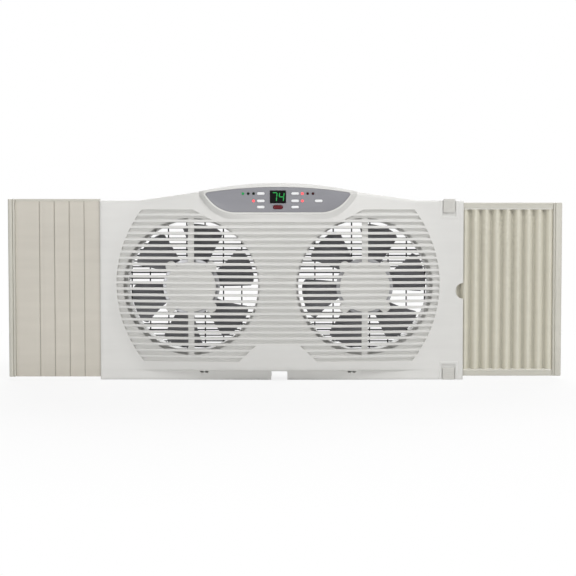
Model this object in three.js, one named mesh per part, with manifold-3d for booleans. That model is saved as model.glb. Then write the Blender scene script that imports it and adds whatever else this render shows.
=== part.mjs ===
// Twin window fan with pull-out side panels, in millimetres.
// X runs to the right, Y runs from the room to the outdoors, Z runs up.
// Inside this file x = 0 is halfway between the two fans, y = 0 is the bezel's flat front
// and z = 0 is the sill; the exported group is moved to the middle of its own footprint.
import * as THREE from "three";
import { mergeVertices } from "three/addons/utils/BufferGeometryUtils.js";
import Module from "manifold-3d";

const wasm = await Module();
wasm.setup();

// ---------------------------------------------------------------- driving sizes

const gap = 0.3; // between pieces that touch or are screwed together
const cut = 1; // how far a cutter runs past the face that it cuts
const wall = 2.4; // moulded wall
const edge = 0.05; // thickness left at a curved solid's rim

// bezel: the flat front plate
const bezelBesideDuct = 42.6; // side of the ducts out to the bezel's left edge
const bezelFlange = 12; // how much further the bezel reaches on the right, where the locks are
const bezelOverDuct = 32.3; // top of the ducts up to the bezel's flat top edge
const bezelPlate = 3;
const humpFoot = 229; // half width where the top edge starts to rise
const humpShoulder = 134; // half width where it reaches the control pod
const humpShoulderRise = 13.5; // how far it has risen above the bezel's flat top edge
const podRise = 28.5; // how far the pod's crest stands above that edge

// dome: the bulged middle of the front
const crown = 33; // how far the dome stands in front of the bezel
const domeHalfWidth = 281;
const domeHalfHeight = 227;
const domeHeight = 160; // height of its middle
const domeFloor = 18; // the dome is cut off flat below this height
const domeColumns = 8; // straight stretches across the dome
const hollowRows = 5; // straight stretches up its inside
const chinHalfWidth = 204;
const chinDepth = 9;

// slots: rows of grooves, which open right through in front of each fan
const slotRows = 25;
const slotPitch = 10.15;
const slotHeight = 6.2;
const slotLowest = 34.4;
const slotDepth = 4;
const fieldHalfWidth = 266;
const fieldHalfHeight = 229;
const fieldHeight = 158;
const topShortRows = 2;
const topShortEnd = 115; // inner end of the lowest short row beside the pod
const topShortSlope = 1.9;
const bottomShortRows = 3;
const bottomShortEnd = 61.5; // inner end of the lowest row, beside the bare badge place
const bottomShortSlope = 1.06;

// fans
const fanSpacing = 284.8;
const fanHeight = 154.7;
const openingLip = 3.5; // how far an opening reaches past its duct
const openingSides = 36;
const hubPlateRadius = 41;
const spineWidth = 10;
const motorBossSpread = 33;
const motorBossRadius = 9;
const motorBossPost = 4.5;
const motorFace = -8; // where the motor's flange meets the posts
const motorRadius = 34;
const motorLength = 19;
const motorFlange = 2.5;
const motorEar = 7;
const shaftRadius = 3;
const shaftLength = 54;
const shaftDepth = 14; // how far the shaft sits in the motor
const hubRadius = 30;
const hubLength = 27;
const hubStart = 17.5;
const bladeCount = 6;
const bladeTipGap = 6; // running gap between the blades and the duct
const bladeThickness = 1.8;
const bladeSweep = 40; // degrees of a circle that one blade covers
const bladeRise = 18; // axial distance from leading to trailing edge
const bladeBelly = 3;
const bladeTwist = 6; // degrees that the tip runs ahead of the root
const bladeRootShare = 0.82; // the root's share of the tip's sweep
const fanPhases = { left: 13.6, right: 8 }; // degrees that the first blade is turned by
const hubChamfer = 4;
const motorChamfer = 3;
const motorNose = 9; // radius of the raised ring at the motor's front
const nutRadius = 6;
const nutLength = 4;

// housing
const overallDepth = 102; // from the crown to the back of the rear grille
const grilleThickness = 2.4;
const housingMargin = 24; // bezel's left edge in to the housing's side
const housingBottom = 16.3;
const housingDrop = 14; // bezel's flat top edge down to the housing's
const ductRadius = 109;
const ductWall = 2.2;
const ductStart = 26;
const podHalfWidth = 126; // the part of the hump that reaches forward to the bezel
const guideDrop = 2; // bezel's flat top edge down to the guide walls'
const sillRibInset = 9.3; // rear sill rib to the housing's back

// rear grille
const grilleRim = 5;
const grilleBar = 2.2;
const grilleLink = 10; // half height of the tie between the two rings
const grilleUprights = 31; // spacing of the upright bars
const grilleCrossPitch = 9.7;
const grilleSplit = 0.2; // between the upright bars and the level ones behind them

// bottom notch for the cord, and the four small foot sockets
const notchWidth = 27;
const notchHeight = 14.7;
const notchAt = 1.85;
const bushRadius = 5.7;
const bushAt = 38;
const bushProud = 2; // how far the bush stands out of the wall on each side
const socketHalfSpacing = 121.8;
const socketPairStep = 7.6;
const socketWidth = 5.5;
const socketHeight = 2.5;
const socketCentre = 13.4;

// screws
const screwShank = 1.3;
const screwHead = 3.2;
const screwHeadThickness = 2;
const motorScrewLength = 8;
const screwPillar = 4.6;
const pillarClear = 18.6; // duct to the middle of a case screw
const pillarAngle = 55; // degrees of that screw above or below its fan's axis
const caseScrewBite = 4.4; // how far a case screw runs into the front cover

// control pod
const podRim = 12.5; // rim round the control panel
const podTilt = 10; // degrees that the panel leans back
const podProud = 2.97; // how far its lower edge stands in front of the dome
const podWall = 4;
const panelHalfFlat = 69;
const panelHalfWidth = 118.4;
const panelCrestRim = 5.8; // pod's crest down to the panel's
const panelTipDrop = 12.7; // panel's crest down to its ends
const panelTopRadius = 756;
const panelThickness = 2;
const panelLedge = 4;
const keyWidth = 12.5;
const keyHeight = 4.4;
const keyProud = 0.8;
const keyLength = 7.4;
const keyTravel = 1.2;
const keyColumn = 28;
const powerKeyAt = 66.4;
const keyRowDrops = [10.9, 23, 33.2]; // panel's crest down to each row of keys
const panelFoot = 8.7; // lowest row of keys down to the panel's lower edge
const displayWidth = 26;
const displayHeight = 20.8;
const displayDrop = 16.4; // panel's crest down to the display's middle
const receiverWidth = 16.4;
const receiverHeight = 6.7;
const lampRadius = 2.1;
const lampBeside = 5.55; // key's end to the middle of the first lamp
const lampPitch = 8.7;
const lampCount = 3;
const lensThickness = 2.6;
const pipeThickness = 2;
const boardHalfWidth = 96;
const boardDrop = 5.7; // panel's crest down to the board's top edge
const boardRise = 4.2; // panel's lower edge up to the board's
const boardThickness = 1.6;
const boardPost = 2.5;
const boardPostAt = 80;

// side panels
const leftReach = 151; // how far the left panel stands out of the bezel
const rightReach = 163;
const panelTravel = 120;
const railDepth = 11.6;
const railClear = 0.5; // between the locks' feet and the rails
const railHeight = 10.3;
const railStop = 4; // between a pushed-in rail and the pod's side wall
const leftEndBar = 11;
const rightEndBar = 14.3;
const leftPanelBottom = 4.7;
const leftPanelRise = 2.6; // how far the left panel stands above the bezel's flat top edge
const leftLip = 4;
const endBarProud = 2;
const sheetThickness = 1.8;
const sheetTuck = 10; // how far a sheet reaches behind the bezel
const stripWidth = 24.6;
const stripGroove = 2.4;
const stripGrooveDepth = 0.9;
const stripCount = 5;
const pleatPitch = 18;
const pleatDepth = 9;
const pleatThickness = 1.2;
const pleatSteps = 8;
const jambStrip = 10;

// thumb notch and the two slide locks at the bezel's right edge
const thumbRadius = 13;
const thumbAt = 147;
const lockInset = 24; // bezel's right edge in to the middle of each lock
const lockWidth = 19.4;
const lockHeight = 22.2;
const lockProud = 1.2;
const lockSeat = 1.8; // depth of the pocket that a lock slides in
const lockMargin = 2.6;
const lockTravel = 6;
const lockRun = 0.8; // pocket left past a lock at the end of its travel
const lockWeb = 10;
const lockWebHeight = 7;
const lockFoot = 1.6;
const lockFootWidth = 17;
const lockFootLip = 1; // how far the foot reaches past the web
const topLockRise = 2.6; // how far the upper lock stands above the bezel's flat top edge
const bottomLockTop = 19.6;

// ---------------------------------------------------------------- worked-out places

const degree = Math.PI / 180;
const back = overallDepth - crown;
const housingBack = back - grilleThickness - gap;
const housingFront = bezelPlate + gap;
const skin = slotDepth + wall; // whole thickness of the dome's wall
const sillRibFace = housingBack - sillRibInset;
const bezelLeft = fanSpacing / 2 + ductRadius + bezelBesideDuct; // middle to the left edge
const bezelRight = bezelLeft + bezelFlange;
const lockAt = bezelRight - lockInset;
const bezelHeight = fanHeight + ductRadius + bezelOverDuct;
const openingRadius = ductRadius + openingLip;
const bladeTip = ductRadius - bladeTipGap;
const housingHalfWidth = bezelLeft - housingMargin;
const lampFirst = keyColumn + keyWidth / 2 + lampBeside;
const leftEnd = -bezelLeft - leftReach;
const rightEnd = bezelRight + rightReach;
const railFront = bezelPlate + gap + lockFoot + railClear;
const guideFace = railFront + railDepth + gap; // front of the walls that the rails slide against
const railInnerEnd = podHalfWidth + railStop + panelTravel; // fan axis to a pulled-out rail's end
const motorRear = motorFace + gap + motorLength;
const shaftFront = motorRear - shaftDepth;
const hubEnd = hubStart + hubLength;
const motorScrewSeat = motorFace + motorFlange + 2 * gap; // under a motor screw's head
const motorScrewTip = motorScrewSeat + gap - motorScrewLength;
const housingTop = bezelHeight - housingDrop;
const guideTop = bezelHeight - guideDrop;
const leftPanelTop = bezelHeight + leftPanelRise;
const topLockTop = bezelHeight + topLockRise;
const podTop = bezelHeight + podRise;
const panelTop = podTop - panelCrestRim;
const keyRows = keyRowDrops.map((drop) => panelTop - drop);
const panelBottom = keyRows.at(-1) - panelFoot;
const panelTip = panelTop - panelTipDrop;
const podBase = panelBottom - podRim; // height of the pod's lower edge
const fanSides = [
  ["left", -fanSpacing / 2],
  ["right", fanSpacing / 2],
];
const ringSides = 18;
const smallSides = 8;
const shaftSides = 12;
const keySegments = 4; // straight stretches in each end of a pill outline
const receiverSegments = 6;

function domeAt(x, z) {
  const u = x / domeHalfWidth;
  const w = (z - domeHeight) / domeHalfHeight;
  return crown * (1 - u * u - w * w);
}

// how far the pod's lower edge stands in front of the bezel
const podFront = domeAt(0, podBase) + podProud;

// ---------------------------------------------------------------- solids

function solid(geometry) {
  const bare = geometry.index ? geometry.toNonIndexed() : geometry;
  bare.deleteAttribute("normal");
  bare.deleteAttribute("uv");
  const merged = mergeVertices(bare, 1e-4);
  return new wasm.Manifold(
    new wasm.Mesh({
      numProp: 3,
      vertProperties: merged.attributes.position.array,
      triVerts: new Uint32Array(merged.index.array),
    }),
  );
}

function geometryOf(body) {
  const made = body.getMesh();
  const geometry = new THREE.BufferGeometry();
  const places = new THREE.BufferAttribute(made.vertProperties, 3);
  geometry.setAttribute("position", places);
  geometry.setIndex(new THREE.BufferAttribute(made.triVerts, 1));
  return geometry;
}

// A shape drawn in x and z, run from one depth to another.
function prismGeometry(shape, front, rear, curveSegments = 12) {
  const settings = { depth: rear - front, bevelEnabled: false, curveSegments };
  const geometry = new THREE.ExtrudeGeometry(shape, settings);
  return geometry.rotateX(Math.PI / 2).translate(0, rear, 0);
}

function prism(shape, front, rear, curveSegments) {
  return solid(prismGeometry(shape, front, rear, curveSegments));
}

function block(x0, x1, y0, y1, z0, z1) {
  const geometry = new THREE.BoxGeometry(x1 - x0, y1 - y0, z1 - z0);
  geometry.translate((x0 + x1) / 2, (y0 + y1) / 2, (z0 + z1) / 2);
  return solid(geometry);
}

// A turned solid on a line along Y, from its profile of radius and depth.
function turned(profile, sides = ringSides, x = 0, z = 0) {
  const points = profile.map(([radius, depth]) => new THREE.Vector2(radius, depth));
  return solid(new THREE.LatheGeometry(points, sides).translate(x, 0, z));
}

function rod(radius, front, rear, x = 0, z = 0, sides = ringSides) {
  const profile = [[0, front], [radius, front], [radius, rear], [0, rear]];
  return turned(profile, sides, x, z);
}

function tube(inner, outer, front, rear, x = 0, z = 0, sides = ringSides) {
  const profile = [[inner, front], [outer, front], [outer, rear], [inner, rear], [inner, front]];
  return turned(profile, sides, x, z);
}

// A closed sheet between two grids of points; front and rear give the point at u and v.
function sheet(across, up, front, rear) {
  const places = [];
  for (const side of [front, rear]) {
    for (let j = 0; j <= up; j++) {
      for (let i = 0; i <= across; i++) places.push(...side(i / across, j / up));
    }
  }
  const row = across + 1;
  const behind = row * (up + 1);
  const faces = [];
  const quad = (a, b, c, d) => faces.push(a, b, c, a, c, d);
  for (let j = 0; j < up; j++) {
    for (let i = 0; i < across; i++) {
      const a = j * row + i;
      quad(a, a + 1, a + row + 1, a + row);
      quad(behind + a, behind + a + row, behind + a + row + 1, behind + a + 1);
    }
  }
  const edge = (a, b) => quad(a, behind + a, behind + b, b);
  for (let i = 0; i < across; i++) {
    edge(i, i + 1);
    edge(up * row + i + 1, up * row + i);
  }
  for (let j = 0; j < up; j++) {
    edge(j * row + across, (j + 1) * row + across);
    edge((j + 1) * row, j * row);
  }
  const geometry = new THREE.BufferGeometry();
  geometry.setAttribute("position", new THREE.Float32BufferAttribute(places, 3));
  geometry.setIndex(faces);
  return solid(geometry);
}

function joined(bodies) {
  return bodies.reduce((sum, body) => sum.add(body));
}

// Half the dome's width at a height, where its surface moved back by an offset meets a depth.
function domeReach(z, offset, depth) {
  const share = (z - domeHeight) / domeHalfHeight;
  return domeHalfWidth * Math.sqrt(1 + (depth - edge - offset) / crown - share * share);
}

// The space between two depths, each given at x and z, over the dome's width at each height.
function domeSheet(heights, reach, frontAt, rearAt) {
  const last = heights.length - 1;
  const side = (depthAt) => (u, v) => {
    const z = heights[Math.round(v * last)];
    const x = (2 * u - 1) * reach(z);
    return [x, depthAt(x, z), z];
  };
  return sheet(domeColumns, last, side(frontAt), side(rearAt));
}

const slotRow = (row) => slotLowest + row * slotPitch;
const slotEdges = [0];
for (let row = 0; row < slotRows; row++) {
  slotEdges.push(slotRow(row) - slotHeight / 2, slotRow(row) + slotHeight / 2);
}
slotEdges.push(podTop + cut);
const hollowHeights = [];
for (let i = 0; i <= hollowRows; i++) hollowHeights.push(((podTop + cut) * i) / hollowRows);

// ---------------------------------------------------------------- outlines in x and z

// The bezel's outline drawn in by an inset, with its lower edge at a given height.
function bezelShape(inset, floor) {
  const shape = new THREE.Shape();
  const shoulder = bezelHeight + humpShoulderRise - inset;
  const control = 2 * (podTop - inset) - shoulder;
  shape.moveTo(-bezelLeft + inset, floor);
  shape.lineTo(bezelRight - inset, floor);
  shape.lineTo(bezelRight - inset, bezelHeight - inset);
  shape.lineTo(humpFoot, bezelHeight - inset);
  shape.lineTo(humpShoulder, shoulder);
  shape.quadraticCurveTo(0, control, -humpShoulder, shoulder);
  shape.lineTo(-humpFoot, bezelHeight - inset);
  shape.lineTo(-bezelLeft + inset, bezelHeight - inset);
  shape.closePath();
  return shape;
}

// The control panel's outline, grown on every side; heights are measured along the pod.
function panelShape(grow) {
  const shape = new THREE.Shape();
  const bottom = panelBottom - grow - podBase;
  const tip = panelTip - podBase;
  const half = panelHalfWidth + grow;
  const swing = (half + panelHalfFlat) / 2 + (half - panelHalfFlat) / 10;
  const top = panelTop + grow - podBase;
  const shoulder = top - half ** 2 / (2 * panelTopRadius);
  shape.moveTo(-panelHalfFlat, bottom);
  shape.lineTo(panelHalfFlat, bottom);
  shape.quadraticCurveTo(swing, bottom, half, tip);
  shape.lineTo(half, Math.max(shoulder, tip + gap));
  shape.quadraticCurveTo(0, 2 * top - shoulder, -half, Math.max(shoulder, tip + gap));
  shape.lineTo(-half, tip);
  shape.quadraticCurveTo(-swing, bottom, -panelHalfFlat, bottom);
  return shape;
}

function circleShape(radius, x, z) {
  return new THREE.Shape().absarc(x, z, radius, 0, 2 * Math.PI, false);
}

function pillShape(width, height, x, z) {
  const radius = height / 2;
  const straight = width / 2 - radius;
  const shape = new THREE.Shape();
  shape.moveTo(x - straight, z - radius);
  shape.absarc(x + straight, z, radius, -Math.PI / 2, Math.PI / 2, false);
  shape.absarc(x - straight, z, radius, Math.PI / 2, 1.5 * Math.PI, false);
  return shape;
}

function rectShape(width, height, x, z) {
  const shape = new THREE.Shape();
  shape.moveTo(x - width / 2, z - height / 2);
  shape.lineTo(x + width / 2, z - height / 2);
  shape.lineTo(x + width / 2, z + height / 2);
  shape.lineTo(x - width / 2, z + height / 2);
  shape.closePath();
  return shape;
}

// ---------------------------------------------------------------- control pod's own frame

const podFrame = new THREE.Group();
podFrame.position.set(0, -podFront, podBase);
podFrame.rotation.x = -podTilt * degree;
podFrame.updateMatrix();

// A shape in the pod's frame, as a solid in the fan's frame.
function podPrism(shape, front, rear, curveSegments = 8) {
  const geometry = prismGeometry(shape, front, rear, curveSegments);
  return solid(geometry.applyMatrix4(podFrame.matrix));
}

const keyPlaces = [
  ...keyRows.map((height, row) => [`key_left_${row + 1}`, -keyColumn, height - podBase]),
  ...keyRows.map((height, row) => [`key_right_${row + 1}`, keyColumn, height - podBase]),
  ["power_key", powerKeyAt, keyRows[1] - podBase],
];

function lampPlaces(side) {
  const places = [[side * lampFirst, keyRows[1] - podBase]];
  for (let i = 0; i < lampCount; i++) {
    places.push([side * (lampFirst + i * lampPitch), keyRows[0] - podBase]);
  }
  return places;
}

const displayCentre = panelTop - displayDrop - podBase;
const receiverCentre = keyRows[2] - podBase;
const boardFace = keyLength - keyProud + keyTravel + gap;

// ---------------------------------------------------------------- front cover

// One slot's outline between two ends, which follow the height.
function slotShape(height, startAt, endAt) {
  const low = height - slotHeight / 2;
  const high = height + slotHeight / 2;
  const shape = new THREE.Shape();
  shape.moveTo(startAt(low), low);
  shape.lineTo(endAt(low), low);
  shape.lineTo(endAt(high), high);
  shape.lineTo(startAt(high), high);
  shape.closePath();
  return shape;
}

function fieldEdge(z) {
  const share = (z - fieldHeight) / fieldHalfHeight;
  return fieldHalfWidth * Math.sqrt(1 - share * share);
}

function slotShapes() {
  const shapes = [];
  const firstTop = slotRows - topShortRows;
  for (let row = 0; row < slotRows; row++) {
    const height = slotRow(row);
    let inner = null;
    if (row >= firstTop) inner = (z) => topShortEnd + (z - slotRow(firstTop)) * topShortSlope;
    if (row < bottomShortRows) inner = (z) => bottomShortEnd - (z - slotLowest) * bottomShortSlope;
    if (inner) {
      shapes.push(slotShape(height, inner, fieldEdge));
      shapes.push(slotShape(height, (z) => -fieldEdge(z), (z) => -inner(z)));
    } else {
      shapes.push(slotShape(height, (z) => -fieldEdge(z), fieldEdge));
    }
  }
  return shapes;
}

function motorBosses(x) {
  const spots = [];
  for (const across of [-1, 1]) {
    for (const up of [-1, 1]) {
      spots.push([x + across * motorBossSpread, fanHeight + up * motorBossSpread]);
    }
  }
  return spots;
}

// The opening in front of one fan, round its hub plate and spine.
function fanOpening(x) {
  const front = -crown - cut;
  const rear = bezelPlate + cut;
  const round = prism(circleShape(openingRadius, x, fanHeight), front, rear, openingSides / 2);
  const hub = prism(circleShape(hubPlateRadius, x, fanHeight), front - cut, rear + cut);
  const bosses = motorBosses(x).map(([bx, bz]) =>
    prism(circleShape(motorBossRadius, bx, bz), front - cut, rear + cut, 6),
  );
  const half = spineWidth / 2;
  const spine = block(
    x - half, x + half, front - cut, rear + cut,
    fanHeight - openingRadius - cut, fanHeight + openingRadius + cut,
  );
  return round.subtract(joined([hub, spine, ...bosses]));
}

function pillars() {
  const spots = [];
  const reach = ductRadius + pillarClear;
  const across = fanSpacing / 2 + reach * Math.cos(pillarAngle * degree);
  const up = reach * Math.sin(pillarAngle * degree);
  for (const x of [-across, across]) {
    for (const z of [fanHeight - up, fanHeight + up]) spots.push([x, z]);
  }
  return spots;
}

// Middle, upper end and direction of travel of each slide lock.
const lockPlaces = [
  ["lock_top", topLockTop - lockHeight, topLockTop, -1],
  ["lock_bottom", 0, bottomLockTop, 1],
];

function lockPocket([, low, high, way]) {
  const half = lockWidth / 2 + lockMargin;
  const reach = lockTravel + lockRun;
  const z0 = way < 0 ? low - reach : low - cut;
  const z1 = way < 0 ? high + cut : high + reach;
  const seat = block(lockAt - half, lockAt + half, -cut, lockSeat, z0, z1);
  const middle = (low + high) / 2;
  const webHalf = lockWeb / 2 + gap;
  const webLow = middle - lockWebHeight / 2 - gap + Math.min(0, way * lockTravel);
  const webHigh = middle + lockWebHeight / 2 + gap + Math.max(0, way * lockTravel);
  const slot = block(lockAt - webHalf, lockAt + webHalf, 0, bezelPlate + cut, webLow, webHigh);
  return seat.add(slot);
}

function chin() {
  const front = (u, v) => {
    const x = (2 * u - 1) * chinHalfWidth;
    const share = x / chinHalfWidth;
    return [x, -chinDepth * (1 - share * share), v * (domeFloor + cut)];
  };
  const rear = (u, v) => [(2 * u - 1) * chinHalfWidth, cut, v * (domeFloor + cut)];
  return sheet(12, 1, front, rear);
}

function frontCover() {
  const tall = prism(bezelShape(0, domeFloor), -2 * crown, bezelPlate);
  const plate = prism(bezelShape(0, 0), 0, bezelPlate);
  const rimDepth = bezelPlate - gap;
  const reach = (z) => domeReach(z, 0, rimDepth);
  const dome = domeSheet(slotEdges, reach, (x, z) => -domeAt(x, z), () => rimDepth)
    .intersect(tall);
  const pod = podPrism(panelShape(podRim), 0, podFront + cut).intersect(tall);
  const outside = joined([plate, dome, chin(), pod]);

  const roomy = prism(bezelShape(wall, domeFloor + wall), -2 * crown, 2 * crown);
  const shelfHeight = housingTop - wall;
  const shelves = [-1, 1].flatMap((side) => {
    const near = side * podHalfWidth;
    const inner = side * (podHalfWidth - wall);
    const far = side * (bezelRight + cut);
    const deep = [-2 * crown, 2 * crown];
    return [
      block(Math.min(near, far), Math.max(near, far), ...deep, shelfHeight, housingTop),
      block(Math.min(near, inner), Math.max(near, inner), ...deep, shelfHeight, podTop),
    ];
  });
  const hollowDepth = bezelPlate + cut;
  const hollowReach = (z) => domeReach(z, skin, hollowDepth);
  const domeHollow = domeSheet(
    hollowHeights, hollowReach, (x, z) => skin - domeAt(x, z), () => hollowDepth,
  ).intersect(roomy);
  const podHollow = podPrism(panelShape(podRim - wall), podWall, podFront * 2)
    .intersect(roomy)
    .intersect(block(-podHalfWidth, podHalfWidth, -crown, bezelPlate + cut, 0, podTop));
  const hollow = domeHollow.add(podHollow).subtract(joined(shelves));

  const slatBack = slotDepth - gap;
  const behind = domeSheet(
    slotEdges, reach, (x, z) => slatBack - domeAt(x, z), () => 2 * crown,
  );
  const inFront = domeSheet(
    slotEdges, reach, () => -2 * crown, (x, z) => slotDepth - domeAt(x, z),
  );
  const slots = joined(slotShapes().map((shape) => prism(shape, -2 * crown, crown)))
    .intersect(inFront);
  const openings = fanSides.map(([, x]) => fanOpening(x).intersect(behind));
  const notch = block(
    notchAt - notchWidth / 2, notchAt + notchWidth / 2,
    -crown, bezelPlate + cut, -cut, notchHeight,
  );
  const sockets = [-socketHalfSpacing, socketHalfSpacing].flatMap((x) =>
    [-socketPairStep / 2, socketPairStep / 2].map((step) =>
      prism(rectShape(socketWidth, socketHeight, x + step, socketCentre), -crown, crown),
    ),
  );
  const thumb = prism(circleShape(thumbRadius, bezelRight, thumbAt), -cut, bezelPlate + cut);
  const pocket = podPrism(panelShape(0), -podFront, panelThickness + gap);
  const window = podPrism(panelShape(-panelLedge), 0, podWall + cut);
  const cuts = [
    hollow, slots, ...openings, notch, ...sockets, thumb, pocket, window,
    ...lockPlaces.map(lockPocket),
  ];

  const postPlaces = fanSides.flatMap(([, x]) => motorBosses(x));
  const posts = postPlaces.map(([x, z]) =>
    rod(motorBossPost, skin - domeAt(x, z) - wall, motorFace, x, z, smallSides),
  );
  const postHoles = postPlaces.map(([x, z]) =>
    rod(screwShank + gap, motorScrewTip - gap, motorFace + cut, x, z, smallSides),
  );
  const seats = pillars().map(([x, z]) =>
    rod(screwPillar, skin - domeAt(x, z) - wall, bezelPlate, x, z, smallSides),
  );
  const bites = pillars().map(([x, z]) =>
    rod(screwShank + gap, bezelPlate - caseScrewBite, bezelPlate + cut, x, z, smallSides),
  );
  const shell = outside.subtract(joined(cuts));
  return joined([shell, ...seats, ...posts]).subtract(joined([...bites, ...postHoles]));
}

// ---------------------------------------------------------------- rear housing

function housingShapeSolid(inset, front, humpFront, rear) {
  const wide = housingHalfWidth - inset;
  const main = block(-wide, wide, front, rear, housingBottom + inset, housingTop - inset);
  const limit = humpFoot - inset;
  const crest = prism(bezelShape(inset, housingTop - wall - inset), humpFront + inset, rear);
  const hump = crest.intersect(
    block(-limit, limit, humpFront + inset, rear, 0, podTop + cut),
  );
  const nose = prism(bezelShape(inset, housingTop - wall - inset), front, rear).intersect(
    block(inset - podHalfWidth, podHalfWidth - inset, front, rear, 0, podTop + cut),
  );
  return joined([main, hump, nose]);
}

function rearHousing() {
  const outer = housingShapeSolid(0, housingFront, guideFace, housingBack);
  const inner = housingShapeSolid(wall, housingFront - cut, guideFace, housingBack - wall);
  const holes = fanSides.map(([, x]) =>
    rod(ductRadius, ductStart, housingBack + cut, x, fanHeight, openingSides),
  );
  const ducts = fanSides.map(([, x]) =>
    tube(ductRadius, ductRadius + ductWall, ductStart, housingBack, x, fanHeight, openingSides),
  );
  const posts = pillars().map(([x, z]) =>
    rod(screwPillar, housingFront, housingBack, x, z, smallSides),
  );
  const bores = pillars().map(([x, z]) =>
    rod(screwShank + gap, 0, housingBack + cut, x, z, smallSides),
  );
  const notchLeft = notchAt - notchWidth / 2;
  const notchRight = notchAt + notchWidth / 2;
  const ribs = [guideFace, sillRibFace].flatMap((face) => [
    block(-housingHalfWidth, notchLeft, face, face + wall, 0, housingBottom + wall),
    block(notchRight, housingHalfWidth, face, face + wall, 0, housingBottom + wall),
  ]);
  const guides = [-1, 1].map((side) => {
    const near = side * (humpFoot - wall);
    const far = side * housingHalfWidth;
    return block(
      Math.min(near, far), Math.max(near, far),
      guideFace, guideFace + wall, housingTop - wall, guideTop,
    );
  });
  const cordHole = solid(
    new THREE.CylinderGeometry(bushRadius + gap, bushRadius + gap, 4 * wall, ringSides)
      .rotateX(Math.PI / 2)
      .translate(notchAt, bushAt, housingBottom),
  );
  const shell = outer.subtract(inner).subtract(joined(holes));
  return joined([shell, ...ducts, ...posts, ...ribs, ...guides])
    .subtract(joined([...bores, cordHole]));
}

function cordBush() {
  const reach = wall + bushProud;
  const profile = [
    [bushRadius - wall, -reach],
    [bushRadius + wall, -reach],
    [bushRadius + wall, -gap],
    [bushRadius, -gap],
    [bushRadius, reach],
    [bushRadius - wall, reach],
    [bushRadius - wall, -reach],
  ];
  const points = profile.map(([radius, height]) => new THREE.Vector2(radius, height));
  return new THREE.LatheGeometry(points, ringSides)
    .rotateX(Math.PI / 2)
    .translate(notchAt, bushAt, housingBottom);
}

function rearGrille() {
  const front = housingBack + gap;
  const middle = (front + back) / 2;
  const reach = ductRadius + grilleRim;
  const split = grilleSplit / 2;
  const bars = [];
  for (const [, x] of fanSides) {
    bars.push(tube(ductRadius, reach, front, back, x, fanHeight, openingSides));
    const disc = rod(ductRadius + cut, front, back, x, fanHeight, openingSides);
    const grid = [];
    const firstRow = Math.ceil((fanHeight - ductRadius) / grilleCrossPitch);
    for (let z = firstRow * grilleCrossPitch; z < fanHeight + ductRadius; z += grilleCrossPitch) {
      grid.push(block(
        x - reach, x + reach, middle + split, back, z - grilleBar / 2, z + grilleBar / 2,
      ));
    }
    const firstColumn = Math.ceil((x - ductRadius) / grilleUprights);
    for (let at = firstColumn * grilleUprights; at < x + ductRadius; at += grilleUprights) {
      grid.push(block(
        at - grilleBar / 2, at + grilleBar / 2, front, middle - split,
        fanHeight - reach, fanHeight + reach,
      ));
    }
    bars.push(joined(grid).intersect(disc));
  }
  const link = fanSpacing / 2 - ductRadius;
  bars.push(block(-link, link, front, back, fanHeight - grilleLink, fanHeight + grilleLink));
  return joined(bars);
}

// A screw from its tip to the seat under its head.
function screwSolid(tip, seat, x, z) {
  const top = seat + screwHeadThickness;
  const profile = [
    [0, tip], [screwShank, tip], [screwShank, seat], [screwHead, seat], [screwHead, top], [0, top],
  ];
  return turned(profile, smallSides, x, z);
}

// ---------------------------------------------------------------- motors and fans

function motor(x) {
  const flangeFace = motorFace + gap;
  const flangeBack = flangeFace + motorFlange;
  const ears = motorBosses(x).map(([bx, bz]) =>
    rod(motorEar, flangeFace, flangeBack, bx, bz, ringSides / 2),
  );
  const holes = motorBosses(x).map(([bx, bz]) =>
    rod(screwShank + gap, flangeFace - cut, flangeBack + cut, bx, bz, smallSides),
  );
  const side = motorBossSpread * Math.SQRT2;
  const flange = rod(side, flangeFace, flangeBack, x, fanHeight);
  const can = turned(
    [
      [0, flangeFace - motorFlange],
      [motorNose, flangeFace - motorFlange],
      [motorNose, flangeFace],
      [motorRadius, flangeFace],
      [motorRadius, motorRear - motorChamfer],
      [motorRadius - motorChamfer, motorRear],
      [0, motorRear],
    ],
    ringSides, x, fanHeight,
  );
  const boreFront = motorRear - shaftDepth - gap;
  const bore = rod(shaftRadius + gap, boreFront, motorRear + cut, x, fanHeight, shaftSides);
  return joined([can, flange, ...ears]).subtract(joined([...holes, bore]));
}

function blade(x, turn) {
  const root = hubRadius - bladeBelly;
  const place = (u, v, offset) => {
    const radius = root + v * (bladeTip - root);
    const belly = Math.sin(Math.PI * u) * bladeBelly;
    const sweep = bladeSweep * (bladeRootShare + (1 - bladeRootShare) * v);
    const angle = (turn + (u - 0.5) * sweep + v * bladeTwist) * degree;
    const depth = hubStart + hubLength / 2 + (0.5 - u) * bladeRise - belly + offset;
    return [x + radius * Math.cos(angle), depth, fanHeight + radius * Math.sin(angle)];
  };
  const front = (u, v) => place(1 - u, v, -bladeThickness / 2);
  const rear = (u, v) => place(1 - u, v, bladeThickness / 2);
  return sheet(4, 3, front, rear);
}

function impeller(x, phase) {
  const hub = turned(
    [
      [0, hubStart],
      [hubRadius - hubChamfer, hubStart],
      [hubRadius, hubStart + hubChamfer],
      [hubRadius, hubEnd],
      [0, hubEnd],
    ],
    ringSides, x, fanHeight,
  );
  const bore = rod(shaftRadius + gap, hubStart - cut, hubEnd + cut, x, fanHeight, shaftSides);
  const blades = [];
  for (let i = 0; i < bladeCount; i++) blades.push(blade(x, phase + (i * 360) / bladeCount));
  return joined([hub, ...blades]).subtract(bore);
}

function impellerNut(x) {
  const front = hubEnd + gap;
  const rear = front + nutLength;
  const hex = rod(nutRadius, front, rear, x, fanHeight, 6);
  return hex.subtract(rod(shaftRadius + gap, front - cut, rear + cut, x, fanHeight, shaftSides));
}

// ---------------------------------------------------------------- side panels

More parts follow.
